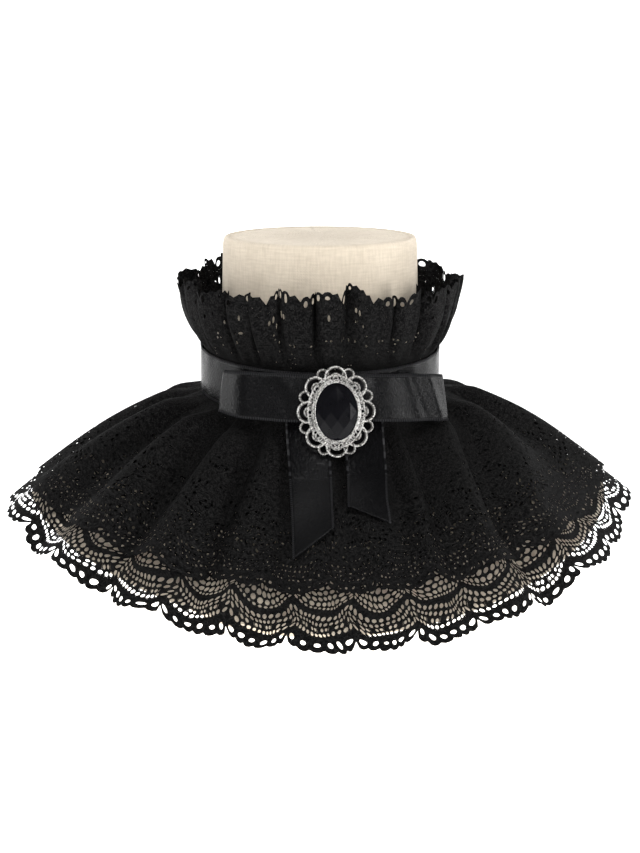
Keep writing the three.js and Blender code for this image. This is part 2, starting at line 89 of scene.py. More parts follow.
def new_piece(name, points, faces, finish, slot, **options):
    """A mesh object that belongs to the collar's one body."""
    piece = new_object(name, points, faces, finish, **options)
    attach(piece, "root")
    return piece


def merge_close(mesh):
    """Joins points of a mesh that lie on each other."""
    work = bmesh.new()
    work.from_mesh(mesh)
    bmesh.ops.remove_doubles(work, verts=work.verts, dist=MERGE_DISTANCE)
    work.to_mesh(mesh)
    work.free()


class Gathered:
    """Points and faces that are added bit by bit and end as one mesh."""

    def __init__(self):
        self.points, self.faces, self.count = [], [], 0

    def add(self, points, faces):
        points = points.reshape(-1, points.shape[-1])
        self.points.append(points)
        self.faces.append(faces + self.count)
        self.count += len(points)

    def joined(self):
        return np.concatenate(self.points), np.concatenate(self.faces)


def grid_faces(across, along, ring=False):
    """Faces of a grid whose points are stored row by row, with 'across' points in each row."""
    i = np.arange(across if ring else across - 1)
    j = np.arange(along - 1)[:, None]
    here, beside = j * across + i, j * across + (i + 1) % across
    return np.stack([here, beside, beside + across, here + across], axis=-1).reshape(-1, 4)


def full_turn(steps):
    """Bearings all round, evenly spaced."""
    return np.linspace(0, 2 * np.pi, steps, endpoint=False)


def rows_of(parts):
    """Arrays for x, y and z, or for the two parts of a UV map, as one long array of points."""
    return np.stack(np.broadcast_arrays(*parts), axis=-1).reshape(-1, len(parts))


# %% [markdown]
# ## Finishes as sums
# A finish is easier to read as arithmetic than as a picture of joined boxes. Field wraps one
# output of a shader node, and +, - and * on it add the Math nodes. Any other node comes from
# Finish.node, which takes the node's type, its settings and the values of its sockets.


# %% Shader arithmetic
class Field:
    """A number that changes over a surface."""

    def __init__(self, finish, socket):
        self.finish = finish
        self.socket = socket

    def math(self, operation, *others):
        inputs = dict(enumerate((self,) + others))
        return self.finish.node("ShaderNodeMath", {"operation": operation}, inputs)

    def __add__(self, other):
        return self.math("ADD", other)

    def __mul__(self, other):
        return self.math("MULTIPLY", other)

    def __rsub__(self, other):
        inputs = {0: other, 1: self}
        return self.finish.node("ShaderNodeMath", {"operation": "SUBTRACT"}, inputs)

    def between(self, low, high):
        """0 below low, 1 above high, and smooth between them."""
        settings = {"interpolation_type": "SMOOTHSTEP"}
        inputs = {"Value": self, "From Min": low, "From Max": high}
        return self.finish.node("ShaderNodeMapRange", settings, inputs)


class Finish:
    """A material on the Principled shader, with the constants set on the shader's own sockets."""

    def __init__(self, name, **constants):
        self.material = bpy.data.materials.new(name)
        self.material.use_nodes = True
        self.tree = self.material.node_tree
        self.shader = self.tree.nodes["Principled BSDF"]
        for key, value in constants.items():
            self.shader.inputs[key.replace("_", " ")].default_value = value

    def node(self, kind, settings=None, inputs=None, output=0):
        """A new node's output, as a Field. Settings come first, because they change the sockets."""
        node = self.tree.nodes.new(kind)
        for key, value in (settings or {}).items():
            setattr(node, key, value)
        for key, value in (inputs or {}).items():
            if isinstance(value, Field):
                self.tree.links.new(value.socket, node.inputs[key])
            else:
                node.inputs[key].default_value = value
        return Field(self, node.outputs[output])

    def place(self):
        """Where a point is on its object, in metres."""
        return self.node("ShaderNodeTexCoord", output="Object")

    def cloth(self):
        """Where a point is on its cloth: the piece's own UV map, in millimetres."""
        return self.node("ShaderNodeUVMap", {"uv_map": "cloth"})

    def split(self, vector):
        """The three parts of a vector."""
        first = self.node("ShaderNodeSeparateXYZ", inputs={0: vector})
        return [Field(self, socket) for socket in first.socket.node.outputs]

    def noise(self, vector, scale, detail=2.0, stretch=(1, 1, 1)):
        """Soft noise from 0 to 1, with 'scale' patches to one unit of the vector."""
        inputs = {0: vector, 1: stretch}
        sized = self.node("ShaderNodeVectorMath", {"operation": "MULTIPLY"}, inputs)
        inputs = {"Vector": sized, "Scale": scale, "Detail": detail}
        return self.node("ShaderNodeTexNoise", inputs=inputs)

    def blend(self, amount, dark, light):
        """A colour between two colours. The Mix node's colours are its sockets 6, 7 and 2."""
        inputs = {0: amount, 6: (*dark, 1.0), 7: (*light, 1.0)}
        return self.node("ShaderNodeMix", {"data_type": "RGBA"}, inputs, output=2)

    def feed(self, socket, field):
        self.tree.links.new(field.socket, self.shader.inputs[socket])

    def colour(self, amount, dark, light):
        """The surface's own colour, between two colours."""
        self.feed("Base Color", self.blend(amount, dark, light))

    def bump(self, height, distance):
        """Relief from a height of 0 to 1, 'distance' metres high."""
        inputs = {"Height": height, "Distance": distance, "Strength": 1.0}
        self.feed("Normal", self.node("ShaderNodeBump", inputs=inputs))


# %% [markdown]
# ## The cloths
# Black lace is matt cotton: its threads are round and fuzzy, so it has almost no gloss. Satin
# ribbon mirrors the lights softly through a fine uneven grain, and has small loops of thread
# along both edges, which carry a painted highlight. The form is covered in plain-woven natural
# linen, whose threads vary in thickness.


# %% Lace, satin and linen
SELVEDGE = (11.0, 11.5, 12.6, 12.8)
SELVEDGE_LOOPS = 4.8
LINEN_THREADS = 7.4


def lace_finish():
    """Twisted black thread: a worked surface of fine knots, uneven in height and in shade."""
    finish = Finish("black lace", Roughness=0.85, Specular_IOR_Level=0.05)
    fuzz = finish.noise(finish.cloth(), 1.3, 3.0)
    stitches = finish.noise(finish.cloth(), 0.5, 2.0)
    relief = fuzz * 0.65 + stitches * 0.35
    shade = relief.between(0.4, 0.66)
    finish.colour(shade, (0.0005, 0.0005, 0.0006), (0.0125, 0.0122, 0.012))
    finish.bump(relief, 1.1 * MM)
    return finish.material


def satin_finish():
    """Woven satin with a grainy sheen, and small loops of thread along both selvedges.
    The loops are raised, and their lighter colour is a painted highlight.

    SELVEDGE gives where the loops start, are full, grow less and end, from the ribbon's middle."""
    finish = Finish("black satin", Specular_IOR_Level=0.07)
    along, across, _ = finish.split(finish.cloth())
    grain = finish.noise(finish.cloth(), 1.5, 2.0, stretch=(1.0, 0.4, 1.0))
    streak = finish.noise(finish.cloth(), 0.12, 2.0, stretch=(1.0, 3.0, 1.0))
    edge = across.math("ABSOLUTE")
    selvedge = edge.between(*SELVEDGE[:2]) * (1 - edge.between(*SELVEDGE[2:]))
    loops = (along * SELVEDGE_LOOPS).math("SINE").between(-0.3, 0.3) * selvedge
    # The loops' lighter colour is a painted highlight; the grain is the satin's own uneven tone.
    shade = grain * 0.12 + loops * 0.88
    finish.colour(shade, (0.0008, 0.0008, 0.001), (0.02, 0.02, 0.0215))
    finish.feed("Roughness", grain * 0.14 + streak * 0.1 + selvedge * 0.25 + 0.12)
    finish.bump(grain * 1.2 + loops * 0.8, 0.2 * MM)
    return finish.material


def linen_finish():
    """Plain weave: two sets of threads a little under a millimetre apart, with slubs."""
    finish = Finish("natural linen", Roughness=0.9, Sheen_Weight=0.1, Sheen_Roughness=0.5)
    across, along, _ = finish.split(finish.cloth())
    weft = finish.noise(finish.cloth(), 0.9, 2.0, stretch=(0.12, 1.0, 1.0))
    warp = finish.noise(finish.cloth(), 0.9, 2.0, stretch=(1.0, 0.12, 1.0))
    cells = (across * LINEN_THREADS).math("SINE") * (along * LINEN_THREADS).math("SINE")
    cloudy = finish.noise(finish.cloth(), 0.05, 3.0)
    threads = weft * 0.5 + warp * 0.5
    shade = (threads * 0.8 + cells * 0.1 + cloudy * 0.3).between(0.25, 0.85)
    finish.colour(shade, (0.45, 0.385, 0.30), (0.63, 0.555, 0.45))
    finish.bump(threads + cells * 0.3, 0.25 * MM)
    return finish.material


lace = lace_finish()
satin = satin_finish()
linen = linen_finish()
print("cloths:", lace.name, satin.name, linen.name)

# %% [markdown]
# ## Metal and stone
# The brooch is a silver-coloured casting: bright on its raised ropes, painted shade in its hollows.
# The stone is black glass, sharply faceted, and the button behind is plain black plastic.


# %% Silver, stone and button
def silver_finish():
    """Cast silver-coloured metal: bright grains on a grey ground, painted shade where it lies deep.
    """
    finish = Finish("cast silver", Metallic=1.0)
    grains = finish.noise(finish.place(), 1100.0, 3.0)
    _, depth, _ = finish.split(finish.cloth())
    # Lower in the flat model, the colour darkens: painted shade in the hollows.
    grains_and_painted_shade = grains.between(0.34, 0.58) * depth.between(0.2, 1.1)
    finish.colour(grains_and_painted_shade, (0.05, 0.047, 0.044), (0.56, 0.55, 0.53))
    finish.feed("Roughness", grains * 0.3 + 0.2)
    finish.bump(grains, 0.12 * MM)
    return finish.material


def polished(name, gloss, smears, dark, light, roughness, rougher):
    """A hard smooth surface, lighter and rougher where faint smears lie on it."""
    finish = Finish(name, IOR=1.5, Specular_IOR_Level=gloss)
    smear = finish.noise(finish.place(), smears, 2.0)
    finish.colour(smear, dark, light)
    finish.feed("Roughness", smear * rougher + roughness)
    return finish.material


silver = silver_finish()
black_glass = (0.0012, 0.0012, 0.0018), (0.004, 0.004, 0.005)
black_plastic = (0.007, 0.007, 0.008), (0.014, 0.014, 0.015)
stone_black = polished("black stone", 0.09, 160.0, *black_glass, 0.05, 0.1)
button_black = polished("button plastic", 0.3, 400.0, *black_plastic, 0.22, 0.15)
print("hard finishes:", silver.name, stone_black.name, button_black.name)

# %% [markdown]
# ## How the lace falls
# The two flounces hang from the band in one shape: straight down behind it, then out over the
# shoulders to an oval hem, low in front and high at the sides. In each direction that is one
# curve with four control points, blended between a front, a side and a back. The curves are
# worked out once, for a table in which each point of the lace is then looked up.

# %% Sizes of the neck, the band and the fall
BAND_WIDTH = 25.0
BAND_RADIUS = 66.5
BAND_Z = 135.5
BAND_LEAN = 0.095
SEAM_DROP = 0.6
SEAM_RADIUS = 63.65
SIDE_SPREAD = 1.25
FALL = {
    "drop": (20, 3, 13),
    "shoulder radius": (84, 114, 86),
    "shoulder z": (89, 109, 110),
    "hem radius": (147, 171, 122),
    "hem z": (16, 65, 24),
}
SCALLOPS = 28
FORM_FALL_AWAY = (9, 0, 7)
BACK_EDGE = np.pi - 0.4 / 66


def band_z(angle):
    """Height of the band's middle: its plane drops forward."""
    return BAND_Z - BAND_LEAN * BAND_RADIUS * np.cos(angle)


def blend_round(angle, front, side, back):
    """A value that goes smoothly from the front by the sides to the back."""
    ahead = np.maximum(0, np.cos(angle)) ** SIDE_SPREAD
    behind = np.maximum(0, -np.cos(angle)) ** SIDE_SPREAD
    return ahead * front + (1 - ahead - behind) * side + behind * back


def oval(angle, front, side, back):
    """Radius of an oval with its own depth in front and at the back."""
    depth = np.where(np.cos(angle) > 0, front, back)
    return 1 / np.hypot(np.sin(angle) / side, np.cos(angle) / depth)


def smooth(value, low, high):
    """0 below low, 1 above high, and smooth between them."""
    part = np.clip((value - low) / (high - low), 0, 1)
    return part * part * (3 - 2 * part)


def hump(value, width, power=2):
    """1 at 0, and falling away on both sides like a bell, or flatter on top for a high power."""
    return np.exp(-((value / width) ** power))


def polar(angle, radius, z):
    """Angle 0 is the front, and it turns towards the viewer's right."""
    return radius * np.sin(angle), -radius * np.cos(angle), z + 0 * angle


def bezier(t, controls):
    """A curve's value at t: the sum of four control values times Bernstein's weights."""
    weights = [(1 - t) ** 3, 3 * t * (1 - t) ** 2, 3 * t * t * (1 - t), t**3]
    return sum(w * c for w, c in zip(weights, controls))


def partly(low, high, part):
    """A value a part of the way from one value to another."""
    return low * (1 - part) + high * part


# %% The table of the fall
TABLE_ANGLES = 361
TABLE_STEPS = 129


def fall_table():
    """Radius, height, direction and length of the fall, by direction and share of its length.

    The curve has a radius r(t) and a height z(t), each from four control values. Its length is
    added up along t, and turned round to give t by length."""
    angle = np.linspace(-np.pi, np.pi, TABLE_ANGLES)[:, None]
    t = np.linspace(0, 1, TABLE_STEPS)[None, :]
    top = band_z(angle) - BAND_WIDTH / 2 - SEAM_DROP
    radii = [SEAM_RADIUS + 0 * angle] * 2
    radii += [oval(angle, *FALL["shoulder radius"]), oval(angle, *FALL["hem radius"])]
    heights = [top, top - blend_round(angle, *FALL["drop"])]
    heights += [blend_round(angle, *FALL["shoulder z"]), blend_round(angle, *FALL["hem z"])]
    r, z = bezier(t, radii), bezier(t, heights)
    step = np.hypot(np.diff(r), np.diff(z))
    along = np.concatenate([np.zeros_like(angle), np.cumsum(step, axis=1)], axis=1)
    share = along / along[:, -1:]
    part = (t[0] - share[:, :-1, None]) / np.diff(share)[:, :, None]
    place = np.clip(part, 0, 1).sum(axis=1)
    low = np.minimum(place.astype(int), TABLE_STEPS - 2)
    here, beyond = ([np.take_along_axis(c, at, 1) for c in (r, z)] for at in (low, low + 1))
    r, z = (partly(a, b, place - low) for a, b in zip(here, beyond))
    slope = np.arctan2(np.gradient(z, axis=1), np.gradient(r, axis=1))
    slope[:, 0] = -np.pi / 2
    return np.stack([r, z, np.cos(slope), np.sin(slope), along[:, -1:] + 0 * z], axis=-1)


FALL_TABLE = fall_table()


def look_up(angle, share):
    """Radius, height, direction and length of the fall, from the table's four nearest points."""
    i = np.clip((angle + np.pi) / (2 * np.pi), 0, 1) * (TABLE_ANGLES - 1)
    j = np.clip(share, 0, 1) * (TABLE_STEPS - 1)
    i0 = np.minimum(i.astype(int), TABLE_ANGLES - 2)
    j0 = np.minimum(j.astype(int), TABLE_STEPS - 2)
    a, b = (i - i0)[..., None], (j - j0)[..., None]
    near = partly(FALL_TABLE[i0, j0], FALL_TABLE[i0, j0 + 1], b)
    far = partly(FALL_TABLE[i0 + 1, j0], FALL_TABLE[i0 + 1, j0 + 1], b)
    return np.moveaxis(partly(near, far, a), -1, 0)


def fall_length(angle):
    """Length of the fall in a direction."""
    return look_up(angle, np.ones_like(angle))[4]


def on_fall(angle, share, out):
    """A point that stands 'out' from the fall. Shares below 0 run up behind the band."""
    r, z, forward, down, length = look_up(angle, share)
    past = (share - np.clip(share, 0, 1)) * length
    return polar(angle, r + forward * past - down * out, z + down * past + forward * out)


lengths = fall_length(np.array([0, np.pi / 2, np.pi]))
print("length of the fall, front, side and back, in mm:", lengths.round(1))

# %% [markdown]
# ## The folds
# Gathered lace falls in folds that start flat under the band, deepen over the shoulders and
# open out at the hem. Their crests are round and their troughs narrow. Each trough has its own
# place and depth: in front they are where the collar shows them, and behind they go on as
# unevenly. On the right they swing towards the front on their way down.

# %% Folds
GATHER_DEPTH = 3.4
FOLD_DEPTH = 6.2
FRONT_CALM = 0.66
PUCKER_DEPTH = 0.5
EASE_DEPTH = 0.7
SWING_REST = 0.42
SWING_RIGHT = 0.2
SWING_WIDE = (0.6, 1.02, 0.26)
FORM_CLEAR = 0.95
LEAST_CLEAR = 0.45
LAYER_GAP = (1.45, 0.95)
TROUGHS = (
    (-3.08, 0.7), (-2.79, 1.0), (-2.5, 0.8), (-2.16, 1.1), (-1.88, 0.8), (-1.59, 0.9),
    (-1.26, 1.25), (-0.92, 1.35), (-0.6, 1.0), (-0.33, 0.75), (0.04, 0.6), (0.33, 0.95),
    (0.5, 0.8), (0.87, 1.35), (1.4, 0.8), (1.72, 1.1), (2.06, 0.8), (2.38, 1.1),
    (2.69, 0.85), (2.95, 1.0), (3.2, 0.7),
)


def fold_wave(phase):
    """Round crests and narrow troughs.

    It is half of (2 |sin(phase / 2)| - 1), less half of cos(phase)."""
    return 0.5 * (2 * np.abs(np.sin(phase / 2)) - 1) - 0.5 * np.cos(phase)


def fold_swing(angle, share):
    """How far a fold has swung round by a share of the fall, in radians.

    It stands in its own place at SWING_REST. SWING_WIDE is how much more one fold on the right
    swings, in which direction that fold is, and how wide."""
    more, middle, width = SWING_WIDE
    right = SWING_RIGHT * smooth(angle, 0.05, 0.4) * smooth(angle, 2.2, 1.6)
    wide = more * hump(angle - middle, width)
    early = SWING_REST - np.clip(share, 0.08, 0.7)
    return -(right + wide) * early - 0.05 * np.sin(2 * angle) * early


def gather_depth(share):
    """Depth that the gathers need: full over the shoulders and a little less at the hem."""
    return GATHER_DEPTH * smooth(share, 0.04, 0.4) * (1 - 0.35 * share)


def form_distance(angle, share):
    """How far the form lies inside the fall: clear of the deepest fold."""
    return gather_depth(share) + FORM_CLEAR + blend_round(angle, *FORM_FALL_AWAY) * share**2


def fold_height(angle, share):
    """How far a fold stands out: its wave, times its depth there, plus puckers at the band.

    The troughs are counted along the table, so a whole count is a trough's bottom."""
    places, depths = zip(*TROUGHS)
    swung = angle + fold_swing(angle, share)
    count = np.interp(swung, places, np.arange(len(places)))
    own = np.interp(count, np.arange(len(places)), depths)
    ahead = hump(angle, 0.4, 4)
    depth = FOLD_DEPTH * smooth(share, 0.0, 0.22) * (1 - 0.5 * smooth(share, 0.35, 1.05))
    wave = depth * (1 - FRONT_CALM * ahead) * own * fold_wave(2 * np.pi * count)
    pucker = PUCKER_DEPTH * smooth(share, 0.0, 0.06) * np.exp(-np.maximum(share, 0) / 0.12)
    fine = pucker * np.cos(61 * angle + 2 * np.sin(7 * angle))
    ease = EASE_DEPTH * np.sin(9 * angle + 3 * share + 0.7) * smooth(share, 0.4, 1) * (1 - ahead)
    return np.maximum(wave + fine + ease, LEAST_CLEAR - form_distance(angle, share))


def layer_gap(share):
    """Distance between the two flounces: at the band, and how much more it is further down."""
    return LAYER_GAP[0] + LAYER_GAP[1] * smooth(share, 0, 0.2)


# %% [markdown]
# ## Lace as rows of cells
# The open edge is what makes this collar, so its holes are really cut. The cloth is laid out in
# rows that follow the scallops: picots with an eyelet above each, solid cord, ladders of small
# square holes, more cord, and a net. Each row is a run of four-cornered cells. A cell is whole,
# or has a round hole that a ring of small faces joins to its sides.

# %% One row of cells
SQUARE_8 = np.array([(-1, -1), (0, -1), (1, -1), (1, 0), (1, 1), (0, 1), (-1, 1), (-1, 0)], float)
SQUARE_16 = np.stack([SQUARE_8, (SQUARE_8 + np.roll(SQUARE_8, -1, 0)) / 2], 1).reshape(-1, 2)
HOLE_LIMITS = (0.05, 0.9)
FINE_ROW = 9


def copies(faces, count):
    """The faces of one cell, over again for each of so many cells."""
    each = faces.max() + 1
    return (faces[None] + (each * np.arange(count))[:, None, None]).reshape(-1, 4)


def cells(place, width, lower, upper, hole, shift, corners):
    """Points and faces of a row's cells with holes, on (place, share).

    place is each cell's left end, and hole is (width, height) as shares of the cell. The outer
    ring walks round the cell's sides, and the inner ring is an oval at the same bearings."""
    bearing = np.arctan2(corners[:, 1], corners[:, 0])
    oval_ring = np.stack([np.cos(bearing), np.sin(bearing)], 1)
    inner = oval_ring[None] * hole[:, None, :] + np.array([0, shift])
    outer = np.broadcast_to(corners, inner.shape)
    local = np.concatenate([outer, inner], axis=1)
    where = place[:, None] + width * (local[..., 0] + 1) / 2
    low, high = lower(where), upper(where)
    share = low + (high - low) * (local[..., 1] + 1) / 2
    return rows_of((where, share)), copies(grid_faces(len(corners), 2, ring=True), len(place))


def whole_cells(place, width, lower, upper, parts=2):
    """Points and faces of a row's cells without holes, each cut into a few strips."""
    step = np.linspace(0, 1, parts + 1)
    where = place[:, None] + width * step
    shares = np.stack([lower(where), upper(where)], 1)
    return rows_of((where[:, None], shares)), copies(grid_faces(parts + 1, 2), len(place))


class LaceChart(Gathered):
    """The rows of a strip of lace, on (place, share). A place is counted in scallops."""

    def __init__(self, scallops, seed):
        super().__init__()
        self.scallops = scallops
        self.random = np.random.default_rng(seed)

    def row(
        self, lower, upper, per_scallop, hole=(0, 0), uneven=0.08, keep=None, shift=0.0, half=False
    ):
        """One row. keep(place) gives the chance that a cell there has its hole."""
        number = int(self.scallops * per_scallop)
        width = self.scallops / number
        place = np.arange(number) * width
        if half:
            place = place[:-1] + width / 2
            ends = np.array([0, self.scallops - width / 2])
            self.add(*whole_cells(ends, width / 2, lower, upper, 1))
        middle = place + width / 2
        chance = np.ones(len(place)) if keep is None else keep(middle)
        cut = (self.random.random(len(place)) < chance) & (hole[0] > 0)
        size = np.array(hole) * (1 + uneven * self.random.standard_normal((len(place), 2)))
        size = np.clip(size, *HOLE_LIMITS)
        corners = SQUARE_16 if per_scallop < FINE_ROW else SQUARE_8
        if cut.any():
            self.add(*cells(place[cut], width, lower, upper, size[cut], shift, corners))
        if (~cut).any():
            self.add(*whole_cells(place[~cut], width, lower, upper))

    def rows(self, lines, rows):
        """A row between each line and the next one. The last line is given back."""
        for outer, inner, row in zip(lines, lines[1:], rows):
            self.row(outer, inner, **row)
        return lines[-1]

    def piece(self, name, to_space, cloth_size):
        """The strip as a piece of lace: to_space(place, share) gives x, y and z."""
        flat, faces = self.joined()
        points, uv = rows_of(to_space(*flat.T)), flat * np.array(cloth_size)
        return new_piece(name, points, faces, lace, "lace", uv=uv, weld=True)


# %% [markdown]
# ## The lower flounce
# This layer's open edge shows against the form. The table gives each line across a scallop: how
# far past the plain hem it lies where two scallops meet, how much further out it is at the
# scallop's middle, and how square its curve is. The rows of cells lie between the lines.

# %% Lines and rows of the lace's edge
EDGE_LINES = {
    "picots": (-1.5, 7.0, 0.5),
    "eyelets": (-7.2, 7.0, 0.6),
    "edge cord": (-9.0, 7.3, 0.7),
    "outer ladder": (-12.2, 7.8, 0.8),
    "fan": (-15.4, 8.0, 0.9),
    "fan top": (-18.4, 8.2, 0.95),
    "inner ladder": (-22.4, 8.8, 1.0),
    "thick cord": (-25.4, 9.0, 1.0),
    "small cells": (-27.5, 9.2, 1.0),
}
NET_TOP = -37.0
NET_ROWS = 5
PICOTS = 6
PICOT_RISE = 1.3
KNOT_ROW = 15
HEM_LENGTH = 940.0
FALL_LENGTH = 134.0
SEAM_HIDDEN = 6.0


def across_scallop(place):
    """From -1 to 1 across each scallop."""
    return 2 * (place - np.floor(place)) - 1


def picot_wave(place, picots):
    """Round points from 0 to 1, so many in a scallop: |sin|, made fuller by a power of 0.6."""
    return np.abs(np.sin(np.pi * picots * place)) ** 0.6


def edge_line(name, reach=None, start=0.0, size=1.0):
    """A line of the lace's edge: its share of the fall, by place."""
    cusp, rise, square = EDGE_LINES[name]

    def line(place):
        across = across_scallop(place + start)
        past = cusp + rise * (1 - across**2) ** square
        if name == "picots":
            past = past + PICOT_RISE * picot_wave(place + start, PICOTS)
        angle = place_angle(place)
        hem = 1.0 if reach is None else reach(angle)
        return hem + size * past / fall_length(angle)

    return line


def place_angle(place):
    """Direction of a place, from one edge of the back opening to the other."""
    return BACK_EDGE * (2 * place / SCALLOPS - 1)


def between(lower, upper, part):
    """A line a part of the way from one line to another."""
    return lambda place: partly(lower(place), upper(place), part)


def level(value):
    """A line, or a chance, that is the same at every place."""
    return lambda place: value + 0 * place


def every_third(place):
    """A hole in two cells of every three, so that the third makes a small dark knot."""
    return np.floor(place * KNOT_ROW) % 3 != 1


def edge_rows(chart, reach=None, start=0.0, size=1.0, openness=1.0):
    """The scalloped edge, from the picots up to the small cells above the thick cord.

    openness makes all of its holes smaller, and the line where it ends is given back."""

    def hole(width, height):
        return width * openness, height * openness

    rows = [
        dict(per_scallop=PICOTS, hole=hole(0.58, 0.42), shift=0.2, uneven=0.14),
        dict(per_scallop=12),
        dict(per_scallop=13, hole=hole(0.76, 0.8)),
        dict(per_scallop=KNOT_ROW, hole=hole(0.76, 0.74), keep=every_third),
        dict(per_scallop=14, hole=hole(0.76, 0.78)),
        dict(per_scallop=12, hole=hole(0.78, 0.84)),
        dict(per_scallop=12),
        dict(per_scallop=14, hole=hole(0.76, 0.78)),
    ]
    return chart.rows([edge_line(name, reach, start, size) for name in EDGE_LINES], rows)


# %% [markdown]
# Above the edge comes the net, its cells staggered like bricks, so that it looks like a
# honeycomb. Higher up the lace is worked closely, with small holes in sprays. A spray is a ring
# of holes round a closed middle, and the sprays are set in a half-drop repeat.


# %% Net and sprays
NET_CELLS = 10
SPRAYS_UP = 5
SPRAY_RING = (0.62, 0.2)
HIDDEN_NET = 0.16


def brick_rows(lower, upper, rows):
    """For each row between two lines: its number, its own two lines, and if it is staggered."""
    for k in range(rows):
        yield k, between(lower, upper, k / rows), between(lower, upper, (k + 1) / rows), k % 2 == 1


def net_rows(chart, lower, upper, rows, hole=(0.78, 0.8)):
    """Rows of net between two lines, each staggered by half a cell."""
    for _, low, high, half in brick_rows(lower, upper, rows):
        chart.row(low, high, NET_CELLS, hole=hole, uneven=0.06, half=half)


def spray_chance(height, near_edge, base):
    """Chance of a hole at a height from 0 to 1: rings in a half drop, and more near the edge."""
    spray = height * SPRAYS_UP
    radius, width = SPRAY_RING

    def chance(place):
        x = across_scallop(place + 0.5 * (np.floor(spray) % 2))
        ring = hump(np.hypot(x, across_scallop(spray)) - radius, width)
        return np.clip((base + ring * near_edge) * (0.12 + 0.88 * (1 - height) ** 2), 0, 1)

    return chance


def body_rows(chart, lower, upper, rows, per_scallop, near_edge, base, hole):
    """The closely worked part, up to the band, with holes that get smaller on the way."""
    for k, low, high, half in brick_rows(lower, upper, rows):
        size = (hole * (1.15 - 0.45 * k / rows),) * 2
        keep = spray_chance(k / rows, near_edge, base)
        chart.row(low, high, per_scallop, hole=size, uneven=0.25, keep=keep, half=half)


FALL_SEAM = level(-SEAM_HIDDEN / FALL_LENGTH)
FALL_CLOTH = (HEM_LENGTH / SCALLOPS, FALL_LENGTH)


def net_top(place):
    """The line where the lower flounce's net ends."""
    return 1 + NET_TOP / fall_length(place_angle(place))


def net_hidden(place):
    """The line up to which the lower flounce is open under the upper one."""
    return net_top(place) - HIDDEN_NET


def pulled(place, share):
    """A lace that is pulled a little out of true: its places and shares waver by slow waves."""
    aside = 0.05 * np.sin(2.9 * place + 23 * share) + 0.035 * np.sin(7.3 * place - 41 * share + 1)
    along = 0.006 * np.sin(3.7 * place + 17 * share + 2) + 0.004 * np.sin(9.1 * place + 31 * share)
    calm = smooth(share, -0.02, 0.1)
    return place + calm * aside, share + calm * along


def under_space(place, share):
    """The lower flounce lies on the fall and follows the folds."""
    place, share = pulled(place, share)
    angle = place_angle(place)
    return on_fall(angle, share, fold_height(angle, share))


def lower_flounce():
    chart = LaceChart(SCALLOPS, seed=3)
    edge_top = edge_rows(chart, openness=0.88)
    net_rows(chart, edge_top, net_top, NET_ROWS)
    net_rows(chart, net_top, net_hidden, 7, hole=(0.7, 0.7))
    body_rows(chart, net_hidden, FALL_SEAM, 22, 10, 0.8, 0.2, hole=0.56)
    return chart.piece("flounce_under_lace", under_space, FALL_CLOTH)


flounce_under_lace = lower_flounce()

# %% [markdown]
# ## The upper flounce
# The upper layer is the same lace, cut shorter and gathered with the lower one. It is worked
# more closely, so its edge shows only small holes, and its scallops fall between those below.

# %% The upper flounce
OVER_REACH = (0.765, 0.85, 0.79)
OVER_START = 0.3


def over_reach(angle):
    """Share of the fall at which the upper flounce ends."""
    return blend_round(angle, *OVER_REACH)


def over_space(place, share):
    """The upper flounce lies a layer's gap outside the lower one, and is pulled in its own way."""
    place, share = pulled(place + OVER_START, share)
    angle = place_angle(place - OVER_START)
    return on_fall(angle, share, layer_gap(share) + fold_height(angle, share))


def upper_flounce():
    chart = LaceChart(SCALLOPS, seed=11)
    edge_top = edge_rows(chart, over_reach, start=0.5, size=0.8, openness=0.62)
    body_rows(chart, edge_top, FALL_SEAM, 30, 13, 0.85, 0.2, hole=0.56)
    return chart.piece("flounce_over_lace", over_space, FALL_CLOTH)


flounce_over_lace = upper_flounce()

# %% [markdown]
# ## The neck ruffle
# The ruffle is a strip of the same lace with its scallops upward. It flares quickly out of the
# band and then stands nearly upright in deep pleats. A pleat's trough is narrower than its
# crest, so the cloth is pushed sideways as well as in and out.

# %% The ruffle
RUFFLE_SCALLOPS = 24
RUFFLE_SECTION = ((65.1, 0.0), (69.0, 0.12), (75.0, 0.44), (76.8, 1.0))
RUFFLE_HEIGHT = (43, 37, 36)
RUFFLE_FOOT = -0.16
RUFFLE_DEPTH = 4.2
RUFFLE_SECOND = 0.9
RUFFLE_TIP = 1.2
RUFFLE_LENGTH = 620.0
RUFFLE_WIDTH = 44.0
RUFFLE_MEAN_HEIGHT = 38.0
RUFFLE_PICOTS = 6
RUFFLE_PICOT_RISE = 1.1
RUFFLE_LINES = {
    "picots": (-2.4, 4.2, 0.8),
    "eyelets": (-5.8, 4.2, 0.9),
    "edge cord": (-8.0, 4.2, 0.9),
    "outer ladder": (-11.0, 4.0, 1.0),
    "close band": (-14.0, 3.0, 1.0),
}


def ruffle_space(place, share):
    """A section swept round the neck, with waves in and out and a push along the ring."""
    angle = BACK_EDGE * (2 * place / RUFFLE_SCALLOPS - 1)
    drift = 1.1 * np.sin(4 * angle + 2) + 0.6 * np.sin(11 * angle + 1)
    phase = RUFFLE_SCALLOPS * angle + drift + np.pi
    up = np.clip(share, 0, 1)
    height = blend_round(angle, *RUFFLE_HEIGHT) + 1.6 * np.sin(5 * angle + 2)
    height = height + 1.2 * np.sin(13 * angle)
    radii, rises = zip(*RUFFLE_SECTION)
    r, rise = bezier(up, radii), bezier(up, rises) * height
    uneven = 0.74 + 0.26 * np.sin(7 * angle + 2)
    wave = RUFFLE_DEPTH * smooth(share, 0, 0.75) * uneven * fold_wave(phase)
    second = RUFFLE_SECOND * smooth(share, 0.02, 0.3) * np.cos(2 * phase + 1 + 2 * share)
    aside = 0.022 + 0.035 * np.abs(np.sin(angle))
    push = aside * smooth(share, 0.05, 0.9) * np.sin(phase)
    tip = RUFFLE_TIP * smooth(share, 0.75, 1.0) * np.sin(37 * angle + 2 * np.sin(5 * angle))
    foot = band_z(angle) + BAND_WIDTH / 2
    return polar(angle - push, r + wave + second + tip, foot + rise + (share - up) * height)


